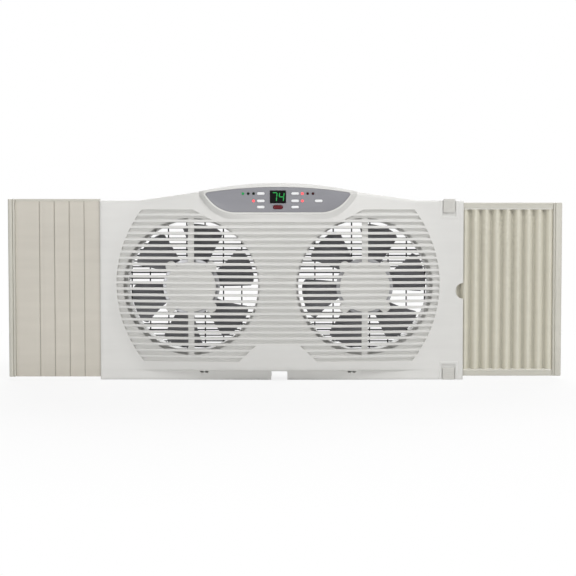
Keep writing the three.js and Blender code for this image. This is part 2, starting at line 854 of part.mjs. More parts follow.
function pleatedSheet() {
  const start = bezelRight - sheetTuck + gap;
  const end = rightEnd - rightEndBar - gap;
  const count = Math.round((end - start) / pleatPitch);
  const middle = railFront + railDepth / 2;
  const swing = (pleatDepth - pleatThickness) / 2;
  const low = housingBottom + gap;
  const high = housingTop - gap;
  const place = (u, v, offset) => {
    const wave = Math.sin(2 * Math.PI * count * u) * swing;
    return [start + u * (end - start), middle + wave + offset, low + v * (high - low)];
  };
  const front = (u, v) => place(u, v, -pleatThickness / 2);
  const rear = (u, v) => place(u, v, pleatThickness / 2);
  return sheet(count * pleatSteps, 1, front, rear);
}

function stripSheet() {
  const start = leftEnd + leftEndBar + gap;
  const end = -bezelLeft + sheetTuck - gap;
  const face = railFront - gap - sheetThickness;
  const low = leftPanelBottom;
  const high = leftPanelTop - leftLip;
  const flat = block(start, end, face, face + sheetThickness, low, high);
  const grooves = [];
  for (let i = 1; i <= stripCount; i++) {
    const at = -bezelLeft - i * stripWidth + stripGroove / 2;
    const shape = new THREE.Shape();
    shape.moveTo(at - stripGroove / 2, face - cut);
    shape.lineTo(at, face + stripGrooveDepth);
    shape.lineTo(at + stripGroove / 2, face - cut);
    shape.closePath();
    const settings = { depth: high - low + 2 * cut, bevelEnabled: false };
    const geometry = new THREE.ExtrudeGeometry(shape, settings).translate(0, 0, low - cut);
    grooves.push(solid(geometry));
  }
  return flat.subtract(joined(grooves));
}

// One rail of a side panel, from its end bar to its inner end.
function rail(outer, inner, low, high) {
  return block(
    Math.min(outer, inner), Math.max(outer, inner),
    railFront, railFront + railDepth, low, high,
  );
}

function slideLock([, low, high, way]) {
  const half = lockWidth / 2;
  const pad = block(lockAt - half, lockAt + half, -lockProud, lockSeat - gap, low, high);
  const middle = (low + high) / 2;
  const webLow = middle - lockWebHeight / 2;
  const webHigh = middle + lockWebHeight / 2;
  const footFront = bezelPlate + gap;
  const web = block(
    lockAt - lockWeb / 2, lockAt + lockWeb / 2,
    0, footFront + lockFoot, webLow, webHigh,
  );
  const foot = block(
    lockAt - lockFootWidth / 2, lockAt + lockFootWidth / 2, footFront, footFront + lockFoot,
    webLow + Math.min(0, way * lockFootLip), webHigh + Math.max(0, way * lockFootLip),
  );
  return joined([pad, web, foot]);
}

// ---------------------------------------------------------------- materials

function finish(color, roughness, metalness = 0) {
  return new THREE.MeshStandardMaterial({ color, roughness, metalness });
}

const coverGrey = finish(0xdcdbd8, 0.5);
const panelBeige = finish(0xc6c1b4, 0.55);
const podGrey = finish(0x85858c, 0.45);
const fanBlack = finish(0x3a3a3d, 0.45);
const grilleBlack = finish(0x141416, 0.6);
const keyWhite = finish(0xf2f2f2, 0.4);
const displayDark = finish(0x101410, 0.15);
const receiverRed = finish(0x4a0f14, 0.2);
const lampClear = finish(0x2c4030, 0.25);
const steel = finish(0xa8a9ad, 0.35, 1);
const boardGreen = finish(0x1d5a34, 0.6);
const rubberBlack = finish(0x202020, 0.85);

// ---------------------------------------------------------------- assembly

const group = new THREE.Group();

function node(name, shape, material, parent = group) {
  const geometry = shape.isBufferGeometry ? shape : geometryOf(shape);
  const mesh = new THREE.Mesh(geometry, material);
  mesh.name = name;
  parent.add(mesh);
  return mesh;
}

node("front_cover", frontCover(), coverGrey);
node("rear_housing", rearHousing(), coverGrey);
node("rear_grille", rearGrille(), grilleBlack);
node("cord_bush", cordBush(), rubberBlack);

for (const [side, x] of fanSides) {
  node(`motor_${side}`, motor(x), steel);
  const shaft = rod(shaftRadius, shaftFront, shaftFront + shaftLength, x, fanHeight, shaftSides);
  node(`shaft_${side}`, shaft, steel);
  node(`impeller_${side}`, impeller(x, fanPhases[side]), fanBlack);
  node(`impeller_nut_${side}`, impellerNut(x), steel);
  motorBosses(x).forEach(([bx, bz], i) => {
    const screw = screwSolid(motorScrewTip, motorScrewSeat, bx, bz);
    node(`motor_screw_${side}_${i + 1}`, screw, steel);
  });
}

pillars().forEach(([x, z], i) => {
  const screw = screwSolid(bezelPlate + gap - caseScrewBite, housingBack + gap, x, z);
  node(`case_screw_${i + 1}`, screw, steel);
});

// control pod
function controlPanel() {
  const through = [-cut, panelThickness + cut];
  const grow = 2 * gap;
  const display = rectShape(displayWidth + grow, displayHeight + grow, 0, displayCentre);
  const receiver = pillShape(receiverWidth + grow, receiverHeight + grow, 0, receiverCentre);
  const keyHoles = keyPlaces.map(([, x, z]) =>
    prism(pillShape(keyWidth + grow, keyHeight + grow, x, z), ...through, keySegments),
  );
  const lampHoles = [...lampPlaces(-1), ...lampPlaces(1)].map(([x, z]) =>
    rod(lampRadius + gap, ...through, x, z, smallSides),
  );
  const posts = [-boardPostAt, boardPostAt].flatMap((x) =>
    [keyRows[0] - boardPost, keyRows[1] - 2 * boardPost].map((height) =>
      rod(boardPost, panelThickness / 2, boardFace - gap, x, height - podBase, smallSides),
    ),
  );
  const holes = [
    prism(display, ...through), prism(receiver, ...through, receiverSegments),
    ...keyHoles, ...lampHoles,
  ];
  const plate = prism(panelShape(-gap), 0, panelThickness).subtract(joined(holes));
  return joined([plate, ...posts]);
}

function lightPipe(side) {
  const places = lampPlaces(side);
  const front = panelThickness + gap;
  const rear = front + pipeThickness;
  const last = places.at(-1);
  const pins = places.map(([x, z]) => rod(lampRadius, gap, rear, x, z, smallSides));
  const [firstX, firstZ] = places[0];
  const topZ = last[1];
  const low = Math.min(firstX, last[0]);
  const high = Math.max(firstX, last[0]);
  const across = block(low, high, front, rear, topZ - lampRadius, topZ + lampRadius);
  const down = block(firstX - lampRadius, firstX + lampRadius, front, rear, firstZ, topZ);
  return joined([...pins, across, down]);
}

group.add(podFrame);
node("control_panel", controlPanel(), podGrey, podFrame);
const displayShape = rectShape(displayWidth, displayHeight, 0, displayCentre);
node("display_lens", prism(displayShape, gap, lensThickness), displayDark, podFrame);
const receiverShape = pillShape(receiverWidth, receiverHeight, 0, receiverCentre);
const receiverLens = prism(receiverShape, gap, lensThickness, receiverSegments);
node("receiver_lens", receiverLens, receiverRed, podFrame);
node("light_pipe_left", lightPipe(-1), lampClear, podFrame);
node("light_pipe_right", lightPipe(1), lampClear, podFrame);
for (const [name, x, z] of keyPlaces) {
  const shape = pillShape(keyWidth, keyHeight, x, z);
  const key = prism(shape, -keyProud, keyLength - keyProud, keySegments);
  node(name, key, keyWhite, podFrame);
}
const boardTop = panelTop - boardDrop;
const boardBottom = panelBottom + boardRise;
const boardMiddle = (boardBottom + boardTop) / 2 - podBase;
const boardShape = rectShape(2 * boardHalfWidth, boardTop - boardBottom, 0, boardMiddle);
const board = prism(boardShape, boardFace, boardFace + boardThickness);
node("circuit_board", board, boardGreen, podFrame);

// side panels
const railBack = railFront + railDepth;
const topRailLow = housingTop + gap;
const topRailHigh = topRailLow + railHeight;
const bottomRailHigh = housingBottom - gap;
const bottomRailLow = bottomRailHigh - railHeight;
const leftRailStart = leftEnd + leftEndBar + gap;
const rightRailEnd = rightEnd - rightEndBar - gap;

const leftEndBlock = block(
  leftEnd, leftEnd + leftEndBar, -endBarProud, railBack, leftPanelBottom, leftPanelTop,
);
const leftTopRail = rail(leftRailStart, -railInnerEnd, topRailLow, topRailHigh)
  .add(rail(leftRailStart, -bezelLeft - gap, topRailLow, leftPanelTop));
const leftJamb = block(
  -bezelLeft + sheetTuck, -housingHalfWidth - gap, bezelPlate + gap, railFront - gap,
  housingBottom + jambStrip, housingTop - jambStrip,
);
node("left_end_bar", leftEndBlock, panelBeige);
node("left_top_rail", leftTopRail, panelBeige);
const leftBottomRail = rail(leftRailStart, -railInnerEnd, bottomRailLow, bottomRailHigh);
node("left_bottom_rail", leftBottomRail, panelBeige);
node("left_strip_sheet", stripSheet(), panelBeige);
node("left_jamb_strip", leftJamb, panelBeige);

const rightEndBlock = block(
  rightEnd - rightEndBar, rightEnd, railFront - endBarProud, railBack,
  bottomRailLow, topRailHigh,
);
const rightJamb = block(
  bezelRight - sheetTuck - jambStrip, bezelRight - sheetTuck, railFront, railBack,
  housingBottom + gap, housingTop - gap,
);
node("right_end_bar", rightEndBlock, panelBeige);
const rightTopRail = rail(railInnerEnd, rightRailEnd, topRailLow, topRailHigh);
node("right_top_rail", rightTopRail, panelBeige);
const rightBottomRail = rail(railInnerEnd, rightRailEnd, bottomRailLow, bottomRailHigh);
node("right_bottom_rail", rightBottomRail, panelBeige);
node("right_pleated_sheet", pleatedSheet(), panelBeige);
node("right_jamb_strip", rightJamb, panelBeige);

for (const place of lockPlaces) node(place[0], slideLock(place), panelBeige);

// The group's own frame: the middle of the footprint, on the sill.
group.position.set(-(leftEnd + rightEnd) / 2, (crown - back) / 2, 0);

export default group;
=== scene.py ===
"""Twin window fan: the looks of every piece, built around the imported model."""

import math

import bmesh
import bpy
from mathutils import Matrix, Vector
from bpy.props import (
    FloatProperty, FloatVectorProperty, IntProperty, PointerProperty,
)


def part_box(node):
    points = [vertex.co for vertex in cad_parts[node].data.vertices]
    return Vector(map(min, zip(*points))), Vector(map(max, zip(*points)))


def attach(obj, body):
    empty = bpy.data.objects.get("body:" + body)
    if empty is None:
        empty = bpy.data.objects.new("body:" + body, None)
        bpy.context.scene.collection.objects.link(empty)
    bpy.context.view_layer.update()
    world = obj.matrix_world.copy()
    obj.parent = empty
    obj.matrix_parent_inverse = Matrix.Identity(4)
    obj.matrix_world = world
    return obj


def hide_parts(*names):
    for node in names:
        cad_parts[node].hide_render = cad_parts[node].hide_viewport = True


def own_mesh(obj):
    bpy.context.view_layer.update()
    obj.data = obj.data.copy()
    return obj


bl_info = {
    "name": "Window fan",
    "version": (1, 0, 0),
    "blender": (4, 5, 0),
    "location": "3D View > Sidebar > Window fan",
    "description": "Builds the visible pieces of a twin window fan on its packed frame",
    "category": "Object",
}

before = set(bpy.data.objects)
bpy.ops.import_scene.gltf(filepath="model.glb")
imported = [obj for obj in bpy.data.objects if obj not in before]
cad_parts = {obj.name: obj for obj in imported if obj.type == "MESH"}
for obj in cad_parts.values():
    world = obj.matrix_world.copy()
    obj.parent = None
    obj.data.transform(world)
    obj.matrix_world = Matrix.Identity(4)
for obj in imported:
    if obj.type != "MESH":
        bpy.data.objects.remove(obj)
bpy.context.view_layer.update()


# ---------------------------------------------------------------- places taken from the frame

def middle(node):
    low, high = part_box(node)
    return (low + high) / 2


cover_low, cover_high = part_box("front_cover")
housing_low, housing_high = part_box("rear_housing")
grille_low, grille_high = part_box("rear_grille")
fan_places = {side: middle(f"shaft_{side}") for side in ("left", "right")}
PLATE = 0.003  # thickness of the bezel's flat plate
MID = (fan_places["left"].x + fan_places["right"].x) / 2
FACE = cover_high.y - PLATE  # the bezel's flat front
SEAM = 0.0003  # clearance between pieces that touch
ORIGIN = Vector((MID, FACE, 0))
fan_offset = fan_places["right"].x - MID
fan_height = fan_places["right"].z
body_left = cover_low.x - MID
body_right = cover_high.x - MID
pod_top = cover_high.z
LOCK_WEB = 0.005  # half width of a lock's web
LOCK_WEB_HEIGHT = 0.0035  # half height of a lock's web
LOCK_TRAVEL = 0.006
LOCK_RUN = 0.0068  # length of the recess past a lock at rest
LOCK_FRAME = 0.004  # width of the low frame round a lock's recess
THUMB = 0.013  # radius of the notch in the bezel's right edge
THUMB_HEIGHT = 0.147
NOTCH = 0.0135  # half width of the notch for the cord
SOCKET_REACH = 0.1218  # from the middle to each pair of sockets in the chin
BORE = 0.0016  # radius of the bores that the screws run into
CHIN_LEAN = 0.55  # share of the chin's depth that is lost at the sill


def local_box(node):
    """A node's corners, measured from the middle of the bezel's front and the sill."""
    low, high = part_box(node)
    return low - ORIGIN, high - ORIGIN


# ---------------------------------------------------------------- sizes and colours

def length(label, default, about):
    return FloatProperty(
        name=label, description=about, default=default, min=0, unit="LENGTH", subtype="DISTANCE"
    )


def number(label, default, about):
    return FloatProperty(name=label, description=about, default=default)


def count(label, default, about):
    return IntProperty(name=label, description=about, default=default, min=1)


def colour(label, default, about):
    """A colour given as it shows on a screen."""
    return FloatVectorProperty(
        name=label, description=about, default=default, size=3, min=0, max=1, subtype="COLOR_GAMMA"
    )


class CoverSizes(bpy.types.PropertyGroup):
    crown: length("Crown", 0.033, "How far the dome stands in front of the bezel")
    dome_half_width: length("Dome half width", 0.281, "Half width of the dome")
    dome_half_height: length("Dome half height", 0.227, "Half height of the dome")
    dome_height: length("Dome height", 0.160, "Height of the dome's middle")
    dome_floor: length("Dome floor", 0.0158, "Height of the dome's lower ledge")
    crease: length("Crease", 0.0024, "Softness of the fold where the dome leaves the bezel")
    bezel_height: length("Bezel height", 0.296, "Height of the flat top edge")
    hump_foot: length("Hump foot", 0.229, "Half width where the top edge starts to rise")
    shoulder: length("Shoulder", 0.134, "Half width where the top edge turns into an arc")
    shoulder_height: length("Shoulder height", 0.3095, "Height of the shoulder")
    chin_half_width: length("Chin half width", 0.204, "Half width of the strip under the dome")
    chin_depth: length("Chin depth", 0.009, "How far that strip bulges")
    edge_round: length("Edge round", 0.0022, "Rounding of the cover's outer edge")
    skin: length("Skin", 0.0064, "Thickness of the dome's wall, groove included")
    wall: length("Wall", 0.0024, "Thickness of a moulded wall")


class SlotSizes(bpy.types.PropertyGroup):
    rows: count("Rows", 25, "Number of grooves")
    pitch: length("Pitch", 0.01015, "Spacing of the grooves")
    lowest: length("Lowest", 0.0344, "Height of the lowest groove")
    height: length("Height", 0.0061, "Height of a groove")
    depth: length("Depth", 0.0044, "Depth of a groove")
    lip: length("Lip", 0.0005, "Rounding of a slat's edges")
    field_half_width: length("Field half width", 0.266, "Half width of the grooved field")
    field_half_height: length("Field half height", 0.229, "Half height of the grooved field")
    field_height: length("Field height", 0.158, "Height of the field's middle")
    top_rows: count("Top rows", 2, "Rows that end beside the control pod")
    top_end: length("Top end", 0.115, "Inner end of the lowest of those rows")
    bottom_rows: count("Bottom rows", 3, "Rows that end beside the bare badge place")
    bottom_end: length("Bottom end", 0.0615, "Inner end of the lowest of those rows")


class FanSizes(bpy.types.PropertyGroup):
    opening: length("Opening radius", 0.1125, "Radius of a fan's opening")
    hub_plate: length("Hub plate radius", 0.041, "Radius of the plate in front of a motor")
    boss_spread: length("Boss spread", 0.033, "Distance of a motor boss from the fan's axis")
    boss_radius: length("Boss radius", 0.009, "Radius of a motor boss")
    spine: length("Spine", 0.010, "Width of the upright spine")
    blades: count("Blades", 6, "Blades of one impeller")
    tip: length("Tip radius", 0.103, "Radius of the blades' tips")
    hub: length("Hub radius", 0.030, "Radius of an impeller's hub")
    duct: length("Duct radius", 0.109, "Inner radius of a duct")
    blade_thickness: length("Blade thickness", 0.0018, "Thickness of a blade")
    blade_sweep: number("Blade sweep", 40.0, "Degrees of a circle that one blade covers")
    blade_rise: length("Blade rise", 0.018, "Depth from a blade's leading to its trailing edge")
    blade_belly: length("Blade belly", 0.003, "How far a blade's middle bulges forward")
    left_phase: number("Left phase", 13.6, "Degrees that the left impeller is turned by")
    right_phase: number("Right phase", 8.0, "Degrees that the right impeller is turned by")
    motor_radius: length("Motor radius", 0.034, "Radius of a motor's can")
    flange: length("Flange", 0.0025, "Thickness of a motor's flange")


class HousingSizes(bpy.types.PropertyGroup):
    bottom: length("Bottom", 0.0163, "Height of the housing's lower face")
    top: length("Top", 0.282, "Height of the housing's upper face")
    nose_half_width: length("Nose half width", 0.126, "Half width of the hump's front part")
    guide_face: length("Guide face", 0.0173, "Front of the walls that the rails slide against")
    guide_top: length("Guide top", 0.294, "Height of those walls")
    rib_face: length("Rib face", 0.057, "Front of the rear sill rib")
    duct_start: length("Duct start", 0.026, "Front end of the ducts")


class GrilleSizes(bpy.types.PropertyGroup):
    rim: length("Rim", 0.005, "Width of each ring")
    bar: length("Bar", 0.0022, "Width of a bar")
    link: length("Link", 0.010, "Half height of the tie between the rings")
    upright_pitch: length("Upright pitch", 0.031, "Spacing of the upright bars")
    cross_pitch: length("Cross pitch", 0.0097, "Spacing of the level bars")


class ControlSizes(bpy.types.PropertyGroup):
    key_width: length("Key width", 0.0125, "Width of a key")
    key_height: length("Key height", 0.0044, "Height of a key")
    key_column: length("Key column", 0.028, "Distance of the key columns from the middle")
    key_rows: FloatVectorProperty(name="Key rows", size=3,
                                  description="Heights of the rows of keys",
                                  default=(0.3078, 0.2957, 0.2855), unit="LENGTH")
    power_key: length("Power key", 0.0664, "Distance of the power key from the middle")
    lamp_radius: length("Lamp radius", 0.0021, "Radius of a lamp's lens")
    lamp_first: length("First lamp", 0.0398, "Distance of the first lamps from the middle")
    lamp_pitch: length("Lamp pitch", 0.0087, "Spacing of the lamps")
    display_width: length("Display width", 0.026, "Width of the display")
    display_height: length("Display height", 0.0208, "Height of the display")
    display_at: length("Display at", 0.3023, "Height of the display's middle")
    receiver_width: length("Receiver width", 0.0164, "Width of the receiver")
    receiver_height: length("Receiver height", 0.0067, "Height of the receiver")
    digit_width: length("Digit width", 0.0074, "Width of a digit")
    digit_height: length("Digit height", 0.0140, "Height of a digit")
    digit_stroke: length("Digit stroke", 0.0015, "Width of a digit's strokes")
    digit_spread: length("Digit spread", 0.0057, "Distance of a digit from the middle")


class PanelSizes(bpy.types.PropertyGroup):
    travel: length("Travel", 0.120, "How far a side panel pushes in")
    strips: count("Strips", 4, "Grooves of the strip curtain")
    first_strip: length("First strip", 0.027, "From the bezel's edge to the first groove")
    strip_width: length("Strip width", 0.0246, "Spacing of the grooves")
    pleat_pitch: length("Pleat pitch", 0.018, "Width of a pleat")
    pleat_thickness: length("Pleat thickness", 0.0012, "Thickness of the pleated sheet")
    pleat_fullness: number("Pleat fullness", 0.72, "Below 1 the crests are the broader ones")


class PodSizes(bpy.types.PropertyGroup):
    tilt: number("Tilt", 10.0, "Degrees that the control panel leans back")
    front: length("Front", 0.029, "How far the pod's lower edge stands in front of the bezel")
    base: length("Base", 0.2643, "Height of the pod's lower edge")
    rim: length("Rim", 0.0125, "Width of the rim and flank round the panel")
    lip: length("Lip", 0.0034, "Width of the flat rim")
    half_flat: length("Half flat", 0.069, "Half width of the panel's straight lower edge")
    half_width: length("Half width", 0.1184, "Half width of the panel")
    bottom: length("Bottom", 0.2768, "Height of the panel's lower edge")
    tip: length("Tip", 0.306, "Height of the panel's ends")
    top: length("Top", 0.3187, "Height of the panel's crest")
    top_radius: length("Top radius", 0.756, "Radius of the panel's upper edge")
    tip_round: length("Tip round", 0.0045, "Rounding of the panel's ends")
    thickness: length("Thickness", 0.002, "Thickness of the panel")


class Colours(bpy.types.PropertyGroup):
    cover: colour("Cover", (0.865, 0.862, 0.85), "Light warm grey of the cover")
    housing: colour("Housing", (0.875, 0.873, 0.86), "Light warm grey of the housing")
    pod: colour("Pod", (0.545, 0.545, 0.565), "Grey of the control panel")
    bar: colour("Bars", (0.80, 0.79, 0.75), "Beige of the panels' frames")
    strip: colour("Strips", (0.805, 0.785, 0.742), "Beige of the strip curtain")
    pleat: colour("Pleats", (0.84, 0.825, 0.765), "Cream of the pleated sheet")
    fan: colour("Fan", (0.50, 0.50, 0.515), "Charcoal of the impellers")
    grille: colour("Grille", (0.075, 0.075, 0.08), "Black of the rear grille")
    key: colour("Keys", (0.95, 0.95, 0.955), "White of the keys")
    lock: colour("Locks", (0.80, 0.795, 0.775), "Grey beige of the locks")
    steel: colour("Steel", (0.72, 0.72, 0.73), "Bright steel")
    board: colour("Board", (0.12, 0.38, 0.22), "Green of the circuit board")
    rubber: colour("Rubber", (0.13, 0.13, 0.13), "Black rubber")
    window: colour("Display", (0.035, 0.045, 0.035), "Smoked display")
    receiver: colour("Receiver", (0.36, 0.03, 0.08), "Dark red receiver")
    digit: colour("Digits", (0.16, 0.68, 0.32), "Green digits")
    lit_green: colour("Green lamp", (0.10, 0.58, 0.30), "A lit green lamp")
    lit_red: colour("Red lamp", (1.0, 0.33, 0.35), "A lit red lamp")
    dark_green: colour("Dark green lamp", (0.02, 0.09, 0.05), "An unlit green lamp")
    dark_red: colour("Dark red lamp", (0.22, 0.03, 0.06), "An unlit red lamp")
    pipe: colour("Light pipes", (0.55, 0.58, 0.56), "Clear light pipes behind the lamps")


class StageSizes(bpy.types.PropertyGroup):
    distance: length("Distance", 2.4, "Camera to the bezel")
    frame_width: length("Frame width", 0.951, "What the frame spans at the bezel")
    aim_x: number("Aim across", 0.0044, "Where the camera stands across the fan")
    ambient: number("Ambient", 0.2, "Strength of the light from all round")
    aim_height: length("Aim height", 0.1518, "Height that the camera looks at")
    pitch: number("Pitch", 3.0, "Degrees that the camera looks down")


class WindowFan(bpy.types.PropertyGroup):
    cover: PointerProperty(type=CoverSizes)
    slots: PointerProperty(type=SlotSizes)
    fans: PointerProperty(type=FanSizes)
    housing: PointerProperty(type=HousingSizes)
    grille: PointerProperty(type=GrilleSizes)
    pod: PointerProperty(type=PodSizes)
    controls: PointerProperty(type=ControlSizes)
    panels: PointerProperty(type=PanelSizes)
    colours: PointerProperty(type=Colours)
    stage: PointerProperty(type=StageSizes)


def settings():
    return bpy.context.scene.window_fan


# ---------------------------------------------------------------- shader maths

class Socket:
    """An output socket that takes part in sums."""

    def __init__(self, shader, socket):
        self.shader = shader
        self.socket = socket

    def sum(self, operation, first, second):
        return self.shader.node("Math", {"operation": operation}, {0: first, 1: second})

    def __add__(self, other):
        return self.sum("ADD", self, other)

    def __radd__(self, other):
        return self.sum("ADD", other, self)

    def __sub__(self, other):
        return self.sum("SUBTRACT", self, other)

    def __rsub__(self, other):
        return self.sum("SUBTRACT", other, self)

    def __mul__(self, other):
        return self.sum("MULTIPLY", self, other)

    def __rmul__(self, other):
        return self.sum("MULTIPLY", other, self)


class Tree:
    """A node tree, with one way to add a node."""

    def __init__(self, owner):
        owner.use_nodes = True
        self.tree = owner.node_tree

    def link(self, value, socket):
        if isinstance(value, Socket):
            self.tree.links.new(value.socket, socket)
        else:
            socket.default_value = value

    def node(self, kind, settings=None, inputs=None, output=0):
        made = self.tree.nodes.new("ShaderNode" + kind)
        for key, value in (settings or {}).items():
            setattr(made, key, value)
        for key, value in (inputs or {}).items():
            self.link(value, made.inputs[key])
        return Socket(self, made.outputs[output]) if output is not None else made

    def seen(self, *rays):
        """One for the named kinds of ray, nought for the others."""
        share = 0.0
        for ray in rays:
            path = self.node("LightPath", output=ray)
            share = self.node("Math", {"operation": "MAXIMUM"}, {0: path, 1: share})
        return share

    def white(self, kind):
        return self.node(kind, {}, {"Color": (1, 1, 1, 1), "Strength": 1.0})

    def blend(self, share, first, second):
        return self.node("MixShader", {}, {0: share, 1: first, 2: second})

    def place(self):
        return self.node("TexCoord", output="Object")


class Shader(Tree):
    """A material round one plastic, metal or glass surface."""

    def __init__(self, name):
        self.material = bpy.data.materials.new(name)
        super().__init__(self.material)
        self.surface = self.tree.nodes["Principled BSDF"]

    def set(self, **values):
        for key, value in values.items():
            self.link(value, self.surface.inputs[key.replace("_", " ")])

    def stretched(self, scale):
        return self.node("Mapping", {}, {"Vector": self.place(), "Scale": scale})

    def noise(self, place, scale, detail=2.0, roughness=0.5):
        inputs = {"Vector": place, "Scale": scale, "Detail": detail, "Roughness": roughness}
        return self.node("TexNoise", {}, inputs, "Fac")

    def range(self, value, low, high, new_low, new_high):
        inputs = {0: value, 1: low, 2: high, 3: new_low, 4: new_high}
        return self.node("MapRange", {"clamp": True}, inputs)

    def mix(self, share, first, second):
        inputs = {0: share, 6: first, 7: second}
        return self.node("Mix", {"data_type": "RGBA"}, inputs, 2)

    def bump(self, height, strength, distance, normal=None):
        inputs = {"Height": height, "Strength": strength, "Distance": distance}
        if normal:
            inputs["Normal"] = normal
        return self.node("Bump", {}, inputs)


def linear(tone, share=1.0):
    """A screen colour as light, made darker or lighter by a share."""
    out = []
    for value in tone:
        light = value / 12.92 if value <= 0.04045 else ((value + 0.055) / 1.055) ** 2.4
        out.append(min(1.0, light * share))
    return (*out, 1.0)


# ---------------------------------------------------------------- finishes

def moulded(name, tone, roughness=0.42, grain=0.5, drift=0.035, edge=0.0, fine=1500.0,
            fold=None):
    """Moulded plastic with a fine grain and soft edges, with painted shade that darkens the colour
    between two depths where folds and grooves lie in shade.
    """
    shader = Shader(name)
    place = shader.place()
    cloud = shader.noise(place, 7.0, 3.0)
    speck = shader.noise(place, fine, 2.0, 0.6)
    flow = shader.noise(shader.stretched((2.0, 2.0, 14.0)), 6.0, 2.0)
    share = shader.range(cloud * 0.6 + flow * 0.4, 0.3, 0.7, 0.0, 1.0)
    base = shader.mix(share, linear(tone, 1.0 - drift), linear(tone, 1.0 + drift))
    if fold:
        # painted shade: the base colour darkens towards the valley depth, as shade would fall in
        # the folds, but not on the rear face
        crest, valley, dark = fold
        deep = shader.node("SeparateXYZ", {}, {0: place}, "Y")
        behind = shader.range(deep, valley + 0.0002, valley + 0.0005, 0.0, 1.0)
        shade = shader.range(deep, crest, valley, 0.0, 1.0) - behind
        base = shader.mix(shade, base, linear(tone, dark))
    shader.set(Base_Color=base, Roughness=roughness + (speck - 0.5) * 0.16)
    rounded = None
    if edge:
        rounded = shader.node("Bevel", {"samples": 6}, {"Radius": edge})
    shader.set(Normal=shader.bump(speck, grain, 0.00006, rounded))
    shader.set(IOR=1.47)
    return shader.material


def glossy(name, tone, roughness=0.08, shine=0.3, glow=0.0):
    """Clear or tinted moulding with a polished face, lit from inside where it glows."""
    shader = Shader(name)
    haze = shader.noise(shader.place(), 420.0, 2.0)
    dim = 0.35 if glow else 1.0
    shader.set(
        Base_Color=shader.mix(haze * 0.25, linear(tone, dim), linear(tone, 1.5 * dim)),
        Roughness=roughness + haze * 0.06,
        Specular_IOR_Level=shine,
    )
    if glow:
        shader.set(Emission_Color=linear(tone), Emission_Strength=glow)
    return shader.material


def metal(name, tone, roughness=0.3, brushed=(1.0, 60.0, 1.0)):
    """Plated steel with faint lines along one direction."""
    shader = Shader(name)
    lines = shader.noise(shader.stretched(brushed), 90.0, 3.0)
    blotch = shader.noise(shader.place(), 60.0, 3.0)
    shader.set(
        Base_Color=shader.mix(blotch, linear(tone, 0.82), linear(tone, 1.08)),
        Metallic=1.0,
        Roughness=roughness + (lines - 0.5) * 0.22,
        Normal=shader.bump(lines, 0.25, 0.00004),
    )
    return shader.material


def rubbery(name, tone):
    shader = Shader(name)
    speck = shader.noise(shader.place(), 900.0, 3.0)
    shader.set(
        Base_Color=shader.mix(speck, linear(tone, 0.8), linear(tone, 1.3)),
        Roughness=0.78 + speck * 0.12,
        Normal=shader.bump(speck, 0.4, 0.0001),
    )
    return shader.material


def printed_board(name, tone):
    """Green board with lighter tracks along it and dark mask between them."""
    shader = Shader(name)
    cells = shader.node(
        "TexBrick", {"offset": 0.5},
        {"Vector": shader.node("Mapping", {}, {"Vector": shader.place(), "Rotation": (1.57, 0, 0)}),
         "Scale": 90.0, "Mortar Size": 0.03}, "Fac",
    )
    shader.set(
        Base_Color=shader.mix(cells, linear(tone, 0.8), linear(tone, 1.9)),
        Roughness=0.38 + cells * 0.1,
        Normal=shader.bump(cells, 0.3, 0.00004),
    )
    return shader.material


# the pleat finish's painted shade darkens the colour between these two depths
def pleat_depths():
    """Where the pleats' flanks start to fall back and where their valleys are."""
    low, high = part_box("right_pleated_sheet")
    return low.y + 0.3 * (high.y - low.y), high.y


# the strip finish's painted shade darkens the colour between these two depths
def strip_depths():
    """Where the strip curtain's grooves start and where their floors are."""
    low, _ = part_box("left_strip_sheet")
    return low.y + 0.0004, low.y + 0.0011


finishes = {}


def finish(name):
    """The named finish, made once."""
    if name not in finishes:
        tones = settings().colours
        makers = {
            "cover": lambda: moulded("cover_plastic", tones.cover, 0.40, edge=0.0006),
            "housing": lambda: moulded("housing_plastic", tones.housing, 0.44, edge=0.0008),
            "pod": lambda: moulded("pod_plastic", tones.pod, 0.36, 0.35, 0.05, fine=2200.0),
            "bar": lambda: moulded("bar_plastic", tones.bar, 0.46, drift=0.04),
            # strip and pleat finishes: painted shade darkens the curtain's grooves and the pleats'
            # valleys
            "strip": lambda: moulded("strip_vinyl", tones.strip, 0.5, drift=0.05,
                                     fold=(*strip_depths(), 0.5)),
            "pleat": lambda: moulded("pleat_vinyl", tones.pleat, 0.5, drift=0.04,
                                     fold=(*pleat_depths(), 0.62)),
            "fan": lambda: moulded("fan_plastic", tones.fan, 0.4, drift=0.08),
            "grille": lambda: moulded("grille_plastic", tones.grille, 0.5, drift=0.1),
            "key": lambda: moulded("key_plastic", tones.key, 0.34, 0.3, 0.02),
            "lock": lambda: moulded("lock_plastic", tones.lock, 0.55, 0.9, 0.06, fine=900.0),
            "steel": lambda: metal("bright_steel", tones.steel),
            "motor": lambda: metal("motor_steel", tones.steel, 0.42, (1.0, 8.0, 1.0)),
            "board": lambda: printed_board("board_laminate", tones.board),
            "rubber": lambda: rubbery("bush_rubber", tones.rubber),
            "window": lambda: glossy("display_window", tones.window, shine=0.12),
            "receiver": lambda: glossy("receiver_window", tones.receiver, 0.12, 0.3),
            "digit": lambda: glossy("digit_glow", tones.digit, 0.3, glow=0.6),
            "lit_green": lambda: glossy("green_glow", tones.lit_green, 0.2, glow=0.8),
            "lit_red": lambda: glossy("red_glow", tones.lit_red, 0.2, glow=1.7),
            "dark_green": lambda: glossy("green_lens", tones.dark_green, shine=0.2),
            "dark_red": lambda: glossy("red_lens", tones.dark_red, shine=0.2),
            "pipe": lambda: glossy("pipe_lens", tones.pipe, 0.2, 0.5),
        }
        finishes[name] = makers[name]()
    return finishes[name]


# ---------------------------------------------------------------- meshes

SHARP = math.radians(32)


